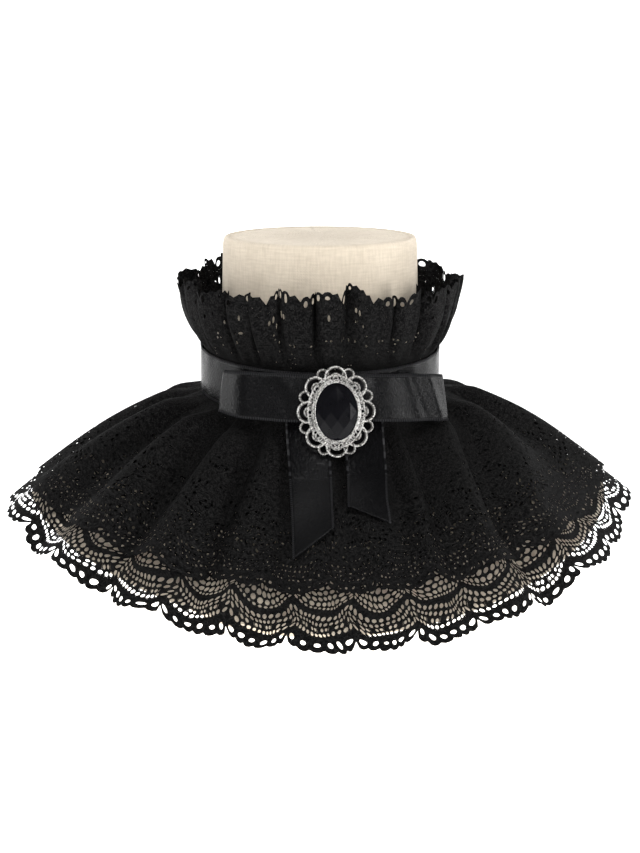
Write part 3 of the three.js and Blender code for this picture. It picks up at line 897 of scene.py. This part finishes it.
def ruffle_line(name):
    """A line of the ruffle's edge, as a share of its height, by place."""
    cusp, rise, square = RUFFLE_LINES[name]

    def line(place):
        size = 0.8 + 0.35 * np.sin(2.6 * place + 1)
        past = cusp + rise * size * np.cos(np.pi / 2 * across_scallop(place)) ** square
        if name == "picots":
            past = past + RUFFLE_PICOT_RISE * picot_wave(place, RUFFLE_PICOTS)
        return 1 + past / RUFFLE_MEAN_HEIGHT

    return line


def ruffle():
    chart = LaceChart(RUFFLE_SCALLOPS, seed=5)
    rows = [
        dict(per_scallop=RUFFLE_PICOTS, hole=(0.46, 0.42), uneven=0.2, keep=level(0.65)),
        dict(per_scallop=10),
        dict(per_scallop=11, hole=(0.5, 0.55), uneven=0.3, keep=level(0.25)),
        dict(per_scallop=11, hole=(0.45, 0.45), uneven=0.3, keep=level(0.12)),
    ]
    edge_top = chart.rows([ruffle_line(name) for name in RUFFLE_LINES], rows)
    body_rows(chart, edge_top, level(RUFFLE_FOOT), 14, 11, 0.28, 0.05, hole=0.42)
    cloth = (RUFFLE_LENGTH / RUFFLE_SCALLOPS, RUFFLE_WIDTH)
    return chart.piece("neck_ruffle_lace", ruffle_space, cloth)


neck_ruffle_lace = ruffle()

# %% [markdown]
# ## The display form
# The form is a lathe shape with an oval plan, and its shoulders follow the lace from below. Its
# cover is a tube of linen with a separate round top, and the seam between them makes a low
# ridge round the neck's upper edge.

# %% The form's profile
NECK_TOP_Z = 208.0
NECK_PROFILE = (
    (0.01, 0), (18, 0), (36, 0), (46, 0), (49.2, -0.1), (49.9, -0.9), (50.6, -1.0), (51.2, -0.1),
    (51.9, 0.25), (52.7, 0.1), (53.3, -0.6), (53.7, -1.7), (53.9, -3.2), (54.0, -5.0),
    (54.2, -14), (54.4, -24), (54.6, -34),
)
NECK_FOOT_RADIUS = 62.75
NECK_RADIUS = 54.0
FORM_EDGE = 0.93
UNDERSIDE_FULL = (0.74, 0.46)
FOOT = (84, 76, 70)
LACE_TUCK = 8.0
FORM_COLUMNS = 180


def neck_rings(angle):
    """The flat top, the seam ridge and the neck's side, down to the top of the lace."""
    lace_top = band_z(angle) - BAND_WIDTH / 2 - SEAM_DROP + LACE_TUCK + 1
    rings = [polar(angle, radius, NECK_TOP_Z + rise) for radius, rise in NECK_PROFILE]
    radius, rise = NECK_PROFILE[-1]
    for part in np.linspace(0.15, 1, 8):
        wider = radius + (NECK_FOOT_RADIUS - radius) * smooth(part, 0, 1.15)
        rings.append(polar(angle, wider, partly(NECK_TOP_Z + rise, lace_top, part)))
    return rings


def form_rings(angle):
    """All rings: the neck, the shoulders under the lace, the turn under and the flat foot."""
    rings = neck_rings(angle)
    for share in np.linspace(0, FORM_EDGE, 28):
        rings.append(on_fall(angle, share + 0 * angle, -form_distance(angle, share)))
    edge_x, edge_y, edge_z = rings[-1]
    edge_radius = np.hypot(edge_x, edge_y)
    foot = oval(angle, *FOOT)
    for part in np.linspace(0.08, 1, 14):
        weights = (1 - part) ** 2, 2 * part * (1 - part), part**2
        radius = (weights[0] + weights[1] * UNDERSIDE_FULL[0]) * edge_radius + weights[2] * foot
        z = (weights[0] + weights[1] * UNDERSIDE_FULL[1]) * edge_z + weights[2] * 1.5
        rings.append(polar(angle, radius, z))
    return rings + [polar(angle, radius, 0.0) for radius in (foot - 1.5, foot * 0.5, foot * 0.001)]


def form():
    angle = np.linspace(-np.pi, np.pi, FORM_COLUMNS, endpoint=False)
    rings = np.array([np.stack(ring, -1) for ring in form_rings(angle)])
    seam = np.linalg.norm(np.diff(rings, axis=0), axis=-1).mean(axis=1)
    along = np.concatenate([[0], np.cumsum(seam)])
    uv = rows_of((angle[None, :] * NECK_RADIUS, along[:, None]))
    faces = grid_faces(FORM_COLUMNS, len(rings), ring=True)
    points = rings.reshape(-1, 3)
    return new_piece("display_form_linen", points, faces, linen, "linen", uv=uv, weld=True)


display_form_linen = form()

# %% [markdown]
# ## The neck band
# A satin ribbon goes once round the neck, and its end laps over its start at the back. It is
# drawn in by the gathered lace that it covers, so it ripples slightly at both edges.

# %% The band
RIBBON_WALL = 0.7
BAND_OVERLAP = 0.34
BAND_LAP_STEP = 1.5
BAND_RIPPLE = 0.22


def band_surface(turn, across):
    """A ring whose plane drops forward, with its last stretch stepped out over its start."""
    angle = -np.pi - BAND_OVERLAP / 2 + turn * (2 * np.pi + BAND_OVERLAP)
    step_out = BAND_LAP_STEP * smooth(angle, np.pi - 2 * BAND_OVERLAP, np.pi - BAND_OVERLAP / 2)
    ripple = BAND_RIPPLE * np.sin(34 * angle + 2 * np.sin(3 * angle)) * (2 * across) ** 2
    return polar(angle, BAND_RADIUS + step_out + ripple, band_z(angle) + across * BAND_WIDTH)


def ribbon(name, surface, length, steps, rows=13):
    """A piece of satin ribbon, with a wall that is half each way.

    surface(u, v) takes u along it, from 0 to 1, and v across it, from -0.5 to 0.5."""
    u, v = np.meshgrid(np.linspace(0, 1, steps), np.linspace(-0.5, 0.5, rows))
    uv = rows_of((u * length, v * BAND_WIDTH))
    piece = new_piece(name, rows_of(surface(u, v)), grid_faces(steps, rows), satin, "satin", uv=uv)
    wall = piece.modifiers.new("wall", "SOLIDIFY")
    wall.thickness, wall.offset = RIBBON_WALL * MM, 0
    return piece


neck_band_satin = ribbon("neck_band_satin", band_surface, 440.0, 360)

# %% [markdown]
# ## The bow
# The bow isn't knotted: it is one flat loop of ribbon, pressed across the front, with its two
# ends meeting behind the brooch. The front of each loop bellies out, and its end is a round
# bend. The loop's plan is a closed curve, drawn once round from the middle of the back.

# %% The bow's loops
BOW_REACH = 0.88
BOW_BACK = 69.5
BOW_DEPTH = (2.4, 3.2)
BOW_BELLY = 2.2
BOW_MIDDLE_Z = 129.0
BOW_ENDS = {-1: (130.0, 4.0), 1: (124.5, 8.0)}
BOW_LEAN = 4.0
BOW_CUP = 0.12
BOW_PINCH = (0.04, 0.12)
# Soft waves pressed into the loops: where and how wide, both as shares of a loop, how high in
# millimetres, and how slanted.
BOW_WAVES = (
    (-0.8, 0.12, 1.2, 0.05), (-0.55, 0.12, -1.3, -0.1), (-0.3, 0.1, 0.9, 0.3),
    (0.32, 0.14, -0.9, 0.05), (0.74, 0.08, -1.2, 0.12), (0.86, 0.06, 1.2, 0.1),
)


def bow_plan():
    """The loop's centre line in plan, as directions and radii, evenly spaced along its length."""

    def back_radius(angle):
        stand_off = np.where(angle < 0, BOW_ENDS[-1][1], BOW_ENDS[1][1])
        return BOW_BACK + stand_off * (np.abs(angle) / BOW_REACH) ** 1.5

    out = np.linspace(0.006, 1, 40) * BOW_REACH
    front = np.linspace(-1, 1, 81) * BOW_REACH
    depth = BOW_DEPTH[0] + (BOW_DEPTH[1] - BOW_DEPTH[0]) * np.abs(front) / BOW_REACH
    depth = depth + BOW_BELLY * np.sin(np.pi * np.abs(front) / BOW_REACH)
    bend = np.linspace(0, np.pi, 12)[1:-1]
    half = BOW_DEPTH[1] / 2
    parts = [(-out, back_radius(-out))]
    for side in (-1, 1):
        mid = back_radius(np.array(side * BOW_REACH)) + half
        turn = bend if side < 0 else bend[::-1]
        bend_angle = side * (BOW_REACH + half / mid * np.sin(turn))
        parts.append((bend_angle, mid - half * np.cos(turn)))
        if side < 0:
            parts.append((front, back_radius(front) + depth))
    parts.append((out[::-1], back_radius(out[::-1])))
    angle, radius = (np.concatenate(values) for values in zip(*parts))
    step = np.hypot(np.diff(radius), radius[1:] * np.diff(angle))
    along = np.concatenate([[0], np.cumsum(step)])
    even = np.linspace(0, along[-1], 320)
    return np.interp(even, along, angle), np.interp(even, along, radius), along[-1]


BOW_ANGLE, BOW_RADIUS, BOW_LENGTH = bow_plan()


def bow_surface(u, v):
    """The plan carried up the ribbon's width, lower towards the right end.

    BOW_PINCH is how much narrower the ribbon is at its middle and at its left end."""
    place = np.linspace(0, 1, len(BOW_ANGLE))
    angle, radius = np.interp(u, place, BOW_ANGLE), np.interp(u, place, BOW_RADIUS)
    side = angle / BOW_REACH
    end_z = np.where(side < 0, BOW_ENDS[-1][0], BOW_ENDS[1][0])
    z = BOW_MIDDLE_Z + (end_z - BOW_MIDDLE_Z) * side**2
    on_front = smooth(radius, BOW_BACK + 3, BOW_BACK + 5)
    pinch = 1 - BOW_PINCH[0] * hump(side, 0.25) - BOW_PINCH[1] * np.clip(-side, 0, 1) ** 6
    wave = sum(rise * hump(side + slant * v - at, wide) for at, wide, rise, slant in BOW_WAVES)
    cup = -BOW_CUP * (2 * v) ** 2
    lean = -BOW_LEAN * v * smooth(np.abs(side), 0.2, 0.34)
    return polar(angle, radius + on_front * (wave + cup + lean), z + v * BAND_WIDTH * pinch)


bow_loops_satin = ribbon("bow_loops_satin", bow_surface, BOW_LENGTH, 321)
print("ribbon in the bow, in mm:", round(float(BOW_LENGTH)))

# %% [markdown]
# ## The tails
# Two ends of ribbon hang from behind the bow. They turn outward where they meet the lace, lie
# over its folds and are cut slantwise. The right one's lower corner stands away from the lace.

# %% The tails
TAIL_BENDS = ((0.0, 68.0, 125.0), (0.12, 68.0, 116.5), (0.2, 69.6, 112.5))
TAIL_ON_LACE = 0.26
TAIL_CLEAR = 1.4
TAIL_CURL = 0.9
TAILS = {
    "left": dict(top=(-26.0, -3.5), tip=(-28.5, -6.0), reach=(0.66, 0.51), lift=2.5, corner=0.0),
    "right": dict(top=(4.5, 27.0), tip=(2.5, 23.0), reach=(0.42, 0.5), lift=0.0, corner=4.5),
}


def tail_surface(side):
    """The ribbon's points: down behind the bow, out below it, then along the crests of the lace."""
    top, tip, reach = TAILS[side]["top"], TAILS[side]["tip"], TAILS[side]["reach"]
    shares, radii, heights = zip(*TAIL_BENDS)

    def surface(along, across):
        part = across + 0.5
        x = partly(partly(*top, part), partly(*tip, part), along)
        onward = np.clip((along - shares[-1]) / (1 - shares[-1]), 0, 1)
        share = partly(TAIL_ON_LACE, partly(*reach, part), onward)
        stand = layer_gap(share) + gather_depth(share) * (1 - 0.55 * (1 - share)) + TAIL_CLEAR
        r, z, forward, down, _ = look_up(0 * share, share)
        lace_r, lace_z = r - down * stand, z + forward * stand
        mix = smooth(along, shares[-1] - 0.04, shares[-1] + 0.08)
        radius = partly(np.interp(along, shares, radii), lace_r, mix)
        height = partly(np.interp(along, shares, heights), lace_z, mix)
        curl = TAIL_CURL * np.sin(4.5 * along + 2 * across + 2.6) * smooth(along, 0.3, 1)
        curl = curl + TAILS[side]["lift"] * np.clip((along - 0.6) / 0.4, 0, 1) ** 2
        curl = curl + TAILS[side]["corner"] * smooth(along + 0.7 * part, 1.25, 1.8)
        angle = np.arcsin(np.clip(x / radius, -1, 1))
        return polar(angle, radius + curl, height)

    return surface


tail_left_satin = ribbon("tail_left_satin", tail_surface("left"), 72.0, 60)
tail_right_satin = ribbon("tail_right_satin", tail_surface("right"), 58.0, 50)

# %% [markdown]
# ## The brooch
# The setting is openwork: eight large arches with a small rosette in each, eight small arches
# between them, a pierced band, and three plain wires round the stone. Each arch is a rope, a
# round wire with slanting grooves, with a thinner plain wire inside it. The brooch is modelled
# flat, facing up, then stood up to face the front with its foot a little out.

# %% Ropes and rims
BROOCH_X, BROOCH_Z = -0.9, 122.7
BROOCH_LEAN = np.radians(9)
BROOCH_FACE = 77.6
ROPE_GROOVE = 0.24


def stand_up(points):
    """Turns flat points to face the front, leaned so that the foot stands out."""
    x, y, z = points[..., 0], points[..., 1], points[..., 2]
    turn = np.pi / 2 - BROOCH_LEAN
    front = y * np.cos(turn) - z * np.sin(turn)
    up = y * np.sin(turn) + z * np.cos(turn)
    return np.stack([x + BROOCH_X, front - BROOCH_FACE, up + BROOCH_Z], axis=-1)


class Casting(Gathered):
    """Small flat-modelled shapes gathered into one mesh."""

    def rope(self, path, radius, twists=0, sides=8, closed=True, flatten=0.8):
        """A wire along a flat path, with slanting grooves.

        Its radius waves by a share of ROPE_GROOVE with the cosine of bearing plus twist."""
        ahead = np.roll(path, -1, 0) - np.roll(path, 1, 0)
        if not closed:
            ahead[0], ahead[-1] = path[1] - path[0], path[-1] - path[-2]
        ahead = ahead / np.linalg.norm(ahead, axis=1, keepdims=True)
        aside = np.stack([-ahead[:, 1], ahead[:, 0], 0 * ahead[:, 0]], 1)
        turn = full_turn(sides)
        along = np.arange(len(path)) / len(path)
        twist = turn[None, :] + 2 * np.pi * twists * along[:, None]
        groove = 1 + ROPE_GROOVE * np.cos(twist) * (twists > 0)
        out = np.cos(turn)[None, :, None] * aside[:, None, :]
        up = np.sin(turn)[None, :, None] * np.array([0, 0, flatten])
        points = path[:, None, :] + radius * groove[..., None] * (out + up)
        faces = grid_faces(sides, len(path) + closed, ring=True)
        self.add(points, faces % (sides * len(path)))

    def arch(self, centre, bearing, ropes):
        """The ropes of one arch, open at their ends."""
        for radius, spread, steps, rise, tall, wire, twists, sides in ropes:
            path = arch_path(centre, bearing, radius, spread, steps, rise, tall)
            self.rope(path, wire, twists, sides, closed=False)

    def plate(self, outline, height, top):
        """A flat ring between two outlines of the same length, with its walls."""
        outer, inner = (line * [1, 1, 0] for line in outline)
        low, high = [0, 0, top - height], [0, 0, top]
        rings = [outer + low, outer + high, inner + high, inner + low, outer + low]
        self.add(np.array(rings), grid_faces(len(outer), 5, ring=True))

    def piece(self, name, finish, slot):
        """The shapes stood up as one piece, with the flat height as the second part of its UV."""
        flat, faces = self.joined()
        return new_piece(name, stand_up(flat), faces, finish, slot, uv=flat[:, [0, 2]])


def oval_path(half_width, half_height, steps, z=0.0):
    """An oval line, flat at a height."""
    turn = full_turn(steps)
    return np.stack([half_width * np.sin(turn), half_height * np.cos(turn), z + 0 * turn], 1)


def arch_path(centre, bearing, radius, spread, steps, z=0.0, tall=1.0):
    """An arc about a centre, open towards the brooch's middle, 'spread' radians each way."""
    turn = bearing + np.linspace(-spread, spread, steps)
    out = np.stack([np.sin(turn), np.cos(turn)], 1) * radius
    stretch = np.array([np.sin(bearing), np.cos(bearing)])
    out = out + np.outer(out @ stretch, stretch) * (tall - 1)
    return np.concatenate([centre + out, np.full((steps, 1), z)], 1)


# %% The setting's arches, rosettes and rims
ARCHES = 8
SETTING_HALF = (21.2, 24.5)
LARGE_INSET = 6.1
SMALL_INSET = 3.5
RIM_STEPS = 96
RIM_HALVES = (15.4, 12.6, 11.5)
RIM_LONGER = 4
# Ropes of an arch: radius, spread, points, height, stretch, wire's radius, twists and sides.
LARGE_ARCH = ((5.5, 1.95, 84, 0.45, 1.0, 0.55, 19, 8), (4.75, 1.9, 30, 0.2, 1.0, 0.28, 0, 6))
SMALL_ARCH = ((2.95, 2.0, 50, 0.3, 1.05, 0.5, 11, 8), (2.3, 1.9, 20, 0.1, 1.05, 0.26, 0, 6))
# Wires round the stone: half width, points, height, wire's radius, twists and sides.
RIM_WIRES = (
    (15.2, 200, 0.5, 0.45, 60, 8), (13.0, 120, 0.9, 0.36, 0, 8), (12.35, 120, 1.9, 0.5, 0, 10),
    (11.6, 120, 2.5, 0.34, 0, 8),
)


def lobe_centres(inset, turn):
    """Middles of the arches, set in from the setting's outline, with their bearings."""
    angle = (np.arange(ARCHES) + turn) / ARCHES * 2 * np.pi
    x = (SETTING_HALF[0] - inset) * np.sin(angle)
    y = (SETTING_HALF[1] - inset) * np.cos(angle)
    bearing = np.arctan2(x / SETTING_HALF[0] ** 2, y / SETTING_HALF[1] ** 2)
    return zip(np.stack([x, y], 1), bearing)


def rosette_centre(centre, bearing):
    """A rosette sits a millimetre inside its arch's middle."""
    return centre - 1.0 * np.array([np.sin(bearing), np.cos(bearing)])


def setting():
    """Large arches with rosettes, small arches, wires, and two flat rings under the wires."""
    metal = Casting()
    for centre, bearing in lobe_centres(LARGE_INSET, 0):
        metal.arch(centre, bearing, LARGE_ARCH)
        fan = rosette_centre(centre, bearing)
        metal.rope(arch_path(fan, bearing, 2.9, np.pi, 49, 0.45)[:-1], 0.42, twists=13, sides=6)
        disc = [arch_path(fan, bearing, radius, np.pi, 17)[:-1] for radius in (2.8, 0.55)]
        metal.plate(disc, 0.8, 0.4)
        metal.rope(arch_path(fan, bearing, 1.35, np.pi, 17, 0.5)[:-1], 0.34, sides=6)
    for centre, bearing in lobe_centres(SMALL_INSET, 0.5):
        metal.arch(centre, bearing, SMALL_ARCH)
    for half, steps, rise, wire, twists, sides in RIM_WIRES:
        metal.rope(oval_path(half, half + RIM_LONGER, steps, rise), wire, twists, sides)
    band, collet, seat = (oval_path(half, half + RIM_LONGER, RIM_STEPS) for half in RIM_HALVES)
    metal.plate((band, collet), 1.3, 0.6)
    metal.plate((collet, seat), 2.4, 2.1)
    return metal.piece("brooch_setting_silver", silver, "silver")


brooch_setting_silver = setting()


# %% [markdown]
# The pierced band's holes are too small to cut: each is a low black bead, which looks like a
# blind hole in the casting, and its black is painted shade. The stone is a low dome cut in
# rhombs, whose corners lie on a slanted lattice.


# %% Blind holes and the stone
ROSETTE_PIT = 0.86
BAND_PIT = (14.05, 18.05, 0.62)
PIT_RADIUS = 0.85
PIT_RISE = 0.05
PIT_STEPS = 10


def blind_holes():
    """Two black beads beside each large arch, on the pierced band, and one in each rosette."""
    pits = Casting()
    turns = (np.arange(ARCHES)[:, None] + np.array([-0.2, 0.2])).ravel() / ARCHES * 2 * np.pi
    middles = [np.array(BAND_PIT) * [np.sin(t), np.cos(t), 1] for t in turns]
    for centre, bearing in lobe_centres(LARGE_INSET, 0):
        middles.append(np.array([*rosette_centre(centre, bearing), ROSETTE_PIT]))
    for middle in middles:
        ring = oval_path(PIT_RADIUS, PIT_RADIUS, PIT_STEPS) + middle
        centre = np.broadcast_to(middle + [0, 0, PIT_RISE], ring.shape)
        pits.add(np.array([ring, centre]), grid_faces(PIT_STEPS, 2, ring=True))
    # The beads' black is painted shade in the holes.
    return pits.piece("brooch_pits", stone_black, "jet")


brooch_pits = blind_holes()

STONE_HALF = (11.2, 15.2)
STONE_HEIGHTS = (0.35, 1.7, 5.3)
STONE_RAISED = 0.7
STONE_BEVEL = 0.2
STONE_STEPS = 48
RHOMB_HALF = (3.5, 4.6)
RHOMBS = np.arange(-4, 5)


def stone():
    """A dome cut in rhombs: corners on a slanted lattice, lifted by h(1 - share^2)^0.6.

    A corner that falls outside the oval is drawn in to its edge."""
    p, q = np.meshgrid(RHOMBS, RHOMBS)
    x, y = (p - q) * RHOMB_HALF[0], (p + q + 1) * RHOMB_HALF[1]
    share = np.hypot(x / STONE_HALF[0], y / STONE_HALF[1])
    inward = 1 / np.maximum(share, 1)
    foot, girdle, peak = (STONE_RAISED + h for h in STONE_HEIGHTS)
    z = girdle + (peak - girdle) * (1 - np.minimum(share, 1) ** 2) ** 0.6
    faces = grid_faces(len(RHOMBS), len(RHOMBS))
    faces = faces[(share.ravel()[faces] < 1).any(axis=1)]
    gem = Casting()
    gem.add(rows_of((x * inward, y * inward, z)), faces)
    rim = oval_path(*STONE_HALF, STONE_STEPS)[::-1]
    layers = (0, foot), (1, foot), (1, girdle), (0.8, girdle)
    walls = np.array([rim * size + [0, 0, rise] for size, rise in layers])
    gem.add(walls, grid_faces(STONE_STEPS, len(layers), ring=True)[:, ::-1])
    points, faces = gem.joined()
    points = stand_up(points)
    piece = new_piece("brooch_stone_black", points, faces, stone_black, "jet", flat=True, weld=True)
    edge = piece.modifiers.new("polished edges", "BEVEL")
    edge.width, edge.segments = STONE_BEVEL * MM, 1
    return piece


brooch_stone_black = stone()

# %% [markdown]
# ## The button
# The band's ends are held at the back by one plain button. It is turned from a profile with a
# raised rim and a hollow in its middle.

# %% The button
BUTTON_STEPS = 48
BUTTON_STANDS = 0.85
BUTTON_PROFILE = np.array([
    (0.01, 0), (4.6, 0), (5.3, 0.5), (5.5, 1.2), (5.2, 2.0), (4.7, 2.4), (4.2, 2.3),
    (3.7, 1.9), (3.0, 1.75), (0.01, 1.7),
])


def back_button():
    """A profile of radius and height, turned once round."""
    radius, height = BUTTON_PROFILE[:, :1], BUTTON_PROFILE[:, 1:]
    turn = full_turn(BUTTON_STEPS)
    lap = BAND_RADIUS + BAND_LAP_STEP + BUTTON_STANDS
    points = rows_of((radius * np.sin(turn), lap + height, band_z(np.pi) + radius * np.cos(turn)))
    faces = grid_faces(BUTTON_STEPS, len(BUTTON_PROFILE), ring=True)[:, ::-1]
    name, slot = "back_button_plastic", "button_black"
    return new_piece(name, points, faces, button_black, slot, weld=True)


back_button_plastic = back_button()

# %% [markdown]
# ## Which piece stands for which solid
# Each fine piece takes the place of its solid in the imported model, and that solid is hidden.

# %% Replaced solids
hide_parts("display_form")
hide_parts("flounce_under")
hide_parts("flounce_over")
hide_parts("neck_ruffle")
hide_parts("neck_band")
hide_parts("bow_loops")
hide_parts("tail_left")
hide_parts("tail_right")
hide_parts("brooch_setting")
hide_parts("brooch_stone")
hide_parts("back_button")

print("solids that a fine piece stands for:", len(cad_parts))

# %% [markdown]
# ## Floor, light and camera
# The photograph is a cut-out in even studio light. A pale floor that curves up into a pale
# background gives the same ground. Large soft lights stand high in front and high behind.
# Upright strips at the sides are what the band and the bow mirror, and a weak light overhead is
# what the tails mirror.

# %% Floor and light
SWEEP_START = 2600.0
SWEEP_BEND = 1200.0
SWEEP_SIDES = (-5000, 5000)
SWEEP_RUN = (-7000, 5000)
LIT_AT = Vector((0, 0, 0.1))
# Soft lights: where, how wide and high, both in metres, and how many watts.
LIGHTS = {
    "key": ((-0.1, -1.5, 1.6), (0.7, 0.7), 17),
    "fill": ((-0.95, -1.45, 0.72), (0.4, 0.4), 8),
    "right strip": ((0.97, -0.97, 0.3), (0.16, 0.58), 12),
    "far right strip": ((1.3, 0.36, 0.3), (0.16, 0.58), 6),
    "left strip": ((-1.34, 0.3, 0.3), (0.26, 0.58), 10),
    "top": ((0.1, 1.45, 1.75), (0.8, 0.8), 28),
    "overhead": ((-0.15, -0.42, 1.6), (0.6, 0.4), 3.5),
}
WORLD_STRENGTH = 0.28


def sweep_surface(x, run):
    """A floor that turns up into a wall behind: flat, then a quarter circle, then upright."""
    flat = np.minimum(run, 0)
    arc = np.clip(run, 0, SWEEP_BEND * np.pi / 2) / SWEEP_BEND
    wall = np.maximum(run - SWEEP_BEND * np.pi / 2, 0)
    return x, SWEEP_START + flat + SWEEP_BEND * np.sin(arc), SWEEP_BEND * (1 - np.cos(arc)) + wall


def backdrop_finish():
    """Pale matt paper, lit from within, and more so close under the collar and far behind it."""
    finish = Finish("pale paper", Roughness=0.95, Emission_Strength=1.0)
    cloud = finish.noise(finish.place(), 3.0, 2.0)
    finish.colour(cloud, (0.86, 0.86, 0.86), (0.9, 0.9, 0.9))
    aside, behind, _ = finish.split(finish.place())
    near = 1 - (aside * aside + behind * behind).between(0.1, 0.25)
    glow = behind.between(0.8, 2.2) * 0.6 + near * 1.2 + 0.3
    finish.feed("Emission Color", finish.blend(glow * 0.5, (0, 0, 0), (2, 2, 2)))
    return finish.material


def backdrop():
    x, run = np.linspace(*SWEEP_SIDES, 11), np.linspace(*SWEEP_RUN, 120)
    points = rows_of(sweep_surface(*np.meshgrid(x, run)))
    new_object("backdrop", points, grid_faces(len(x), len(run)), backdrop_finish())


def turn_to(thing, place, aim):
    """Puts a light or the camera at a place, and turns it to face a point."""
    thing.location = place
    thing.rotation_euler = (aim - thing.location).to_track_quat("-Z", "Y").to_euler()


def soft_light(name, place, size, power):
    """A rectangular light, wide and high in metres, that faces the collar."""
    data = bpy.data.lights.new(name, "AREA")
    data.shape = "RECTANGLE"
    data.size, data.size_y = size
    data.energy = power
    turn_to(in_scene(name, data), place, LIT_AT)


def world_light(strength):
    """Even white light from all round."""
    world = bpy.data.worlds.new("studio")
    world.use_nodes = True
    background = world.node_tree.nodes["Background"]
    background.inputs[0].default_value = (1.0, 1.0, 1.0, 1.0)
    background.inputs[1].default_value = strength
    bpy.context.scene.world = world


backdrop()
for light, (where, size, watts) in LIGHTS.items():
    soft_light(light, where, size, watts)
world_light(WORLD_STRENGTH)
bpy.context.scene.view_settings.view_transform = "Standard"
print("lights:", ", ".join(LIGHTS))

# %% The camera
CAMERA_TURN = np.radians(-7)
CAMERA_RISE = np.radians(10.7)
CAMERA_DISTANCE = 1.3
AIM = Vector((0, 0, 0.10015))
FOCAL_PIXELS = 2301
PHOTO_HEIGHT = 853

camera_data = bpy.data.cameras.new("camera")
camera_data.lens = camera_data.sensor_width * FOCAL_PIXELS / PHOTO_HEIGHT
camera = in_scene("camera", camera_data)
ahead = Vector((np.sin(CAMERA_TURN), -np.cos(CAMERA_TURN), 0)) * np.cos(CAMERA_RISE)
turn_to(camera, AIM + CAMERA_DISTANCE * (ahead + Vector((0, 0, np.sin(CAMERA_RISE)))), AIM)
bpy.context.scene.camera = camera
print("camera at, in m:", [round(part, 3) for part in camera.location])
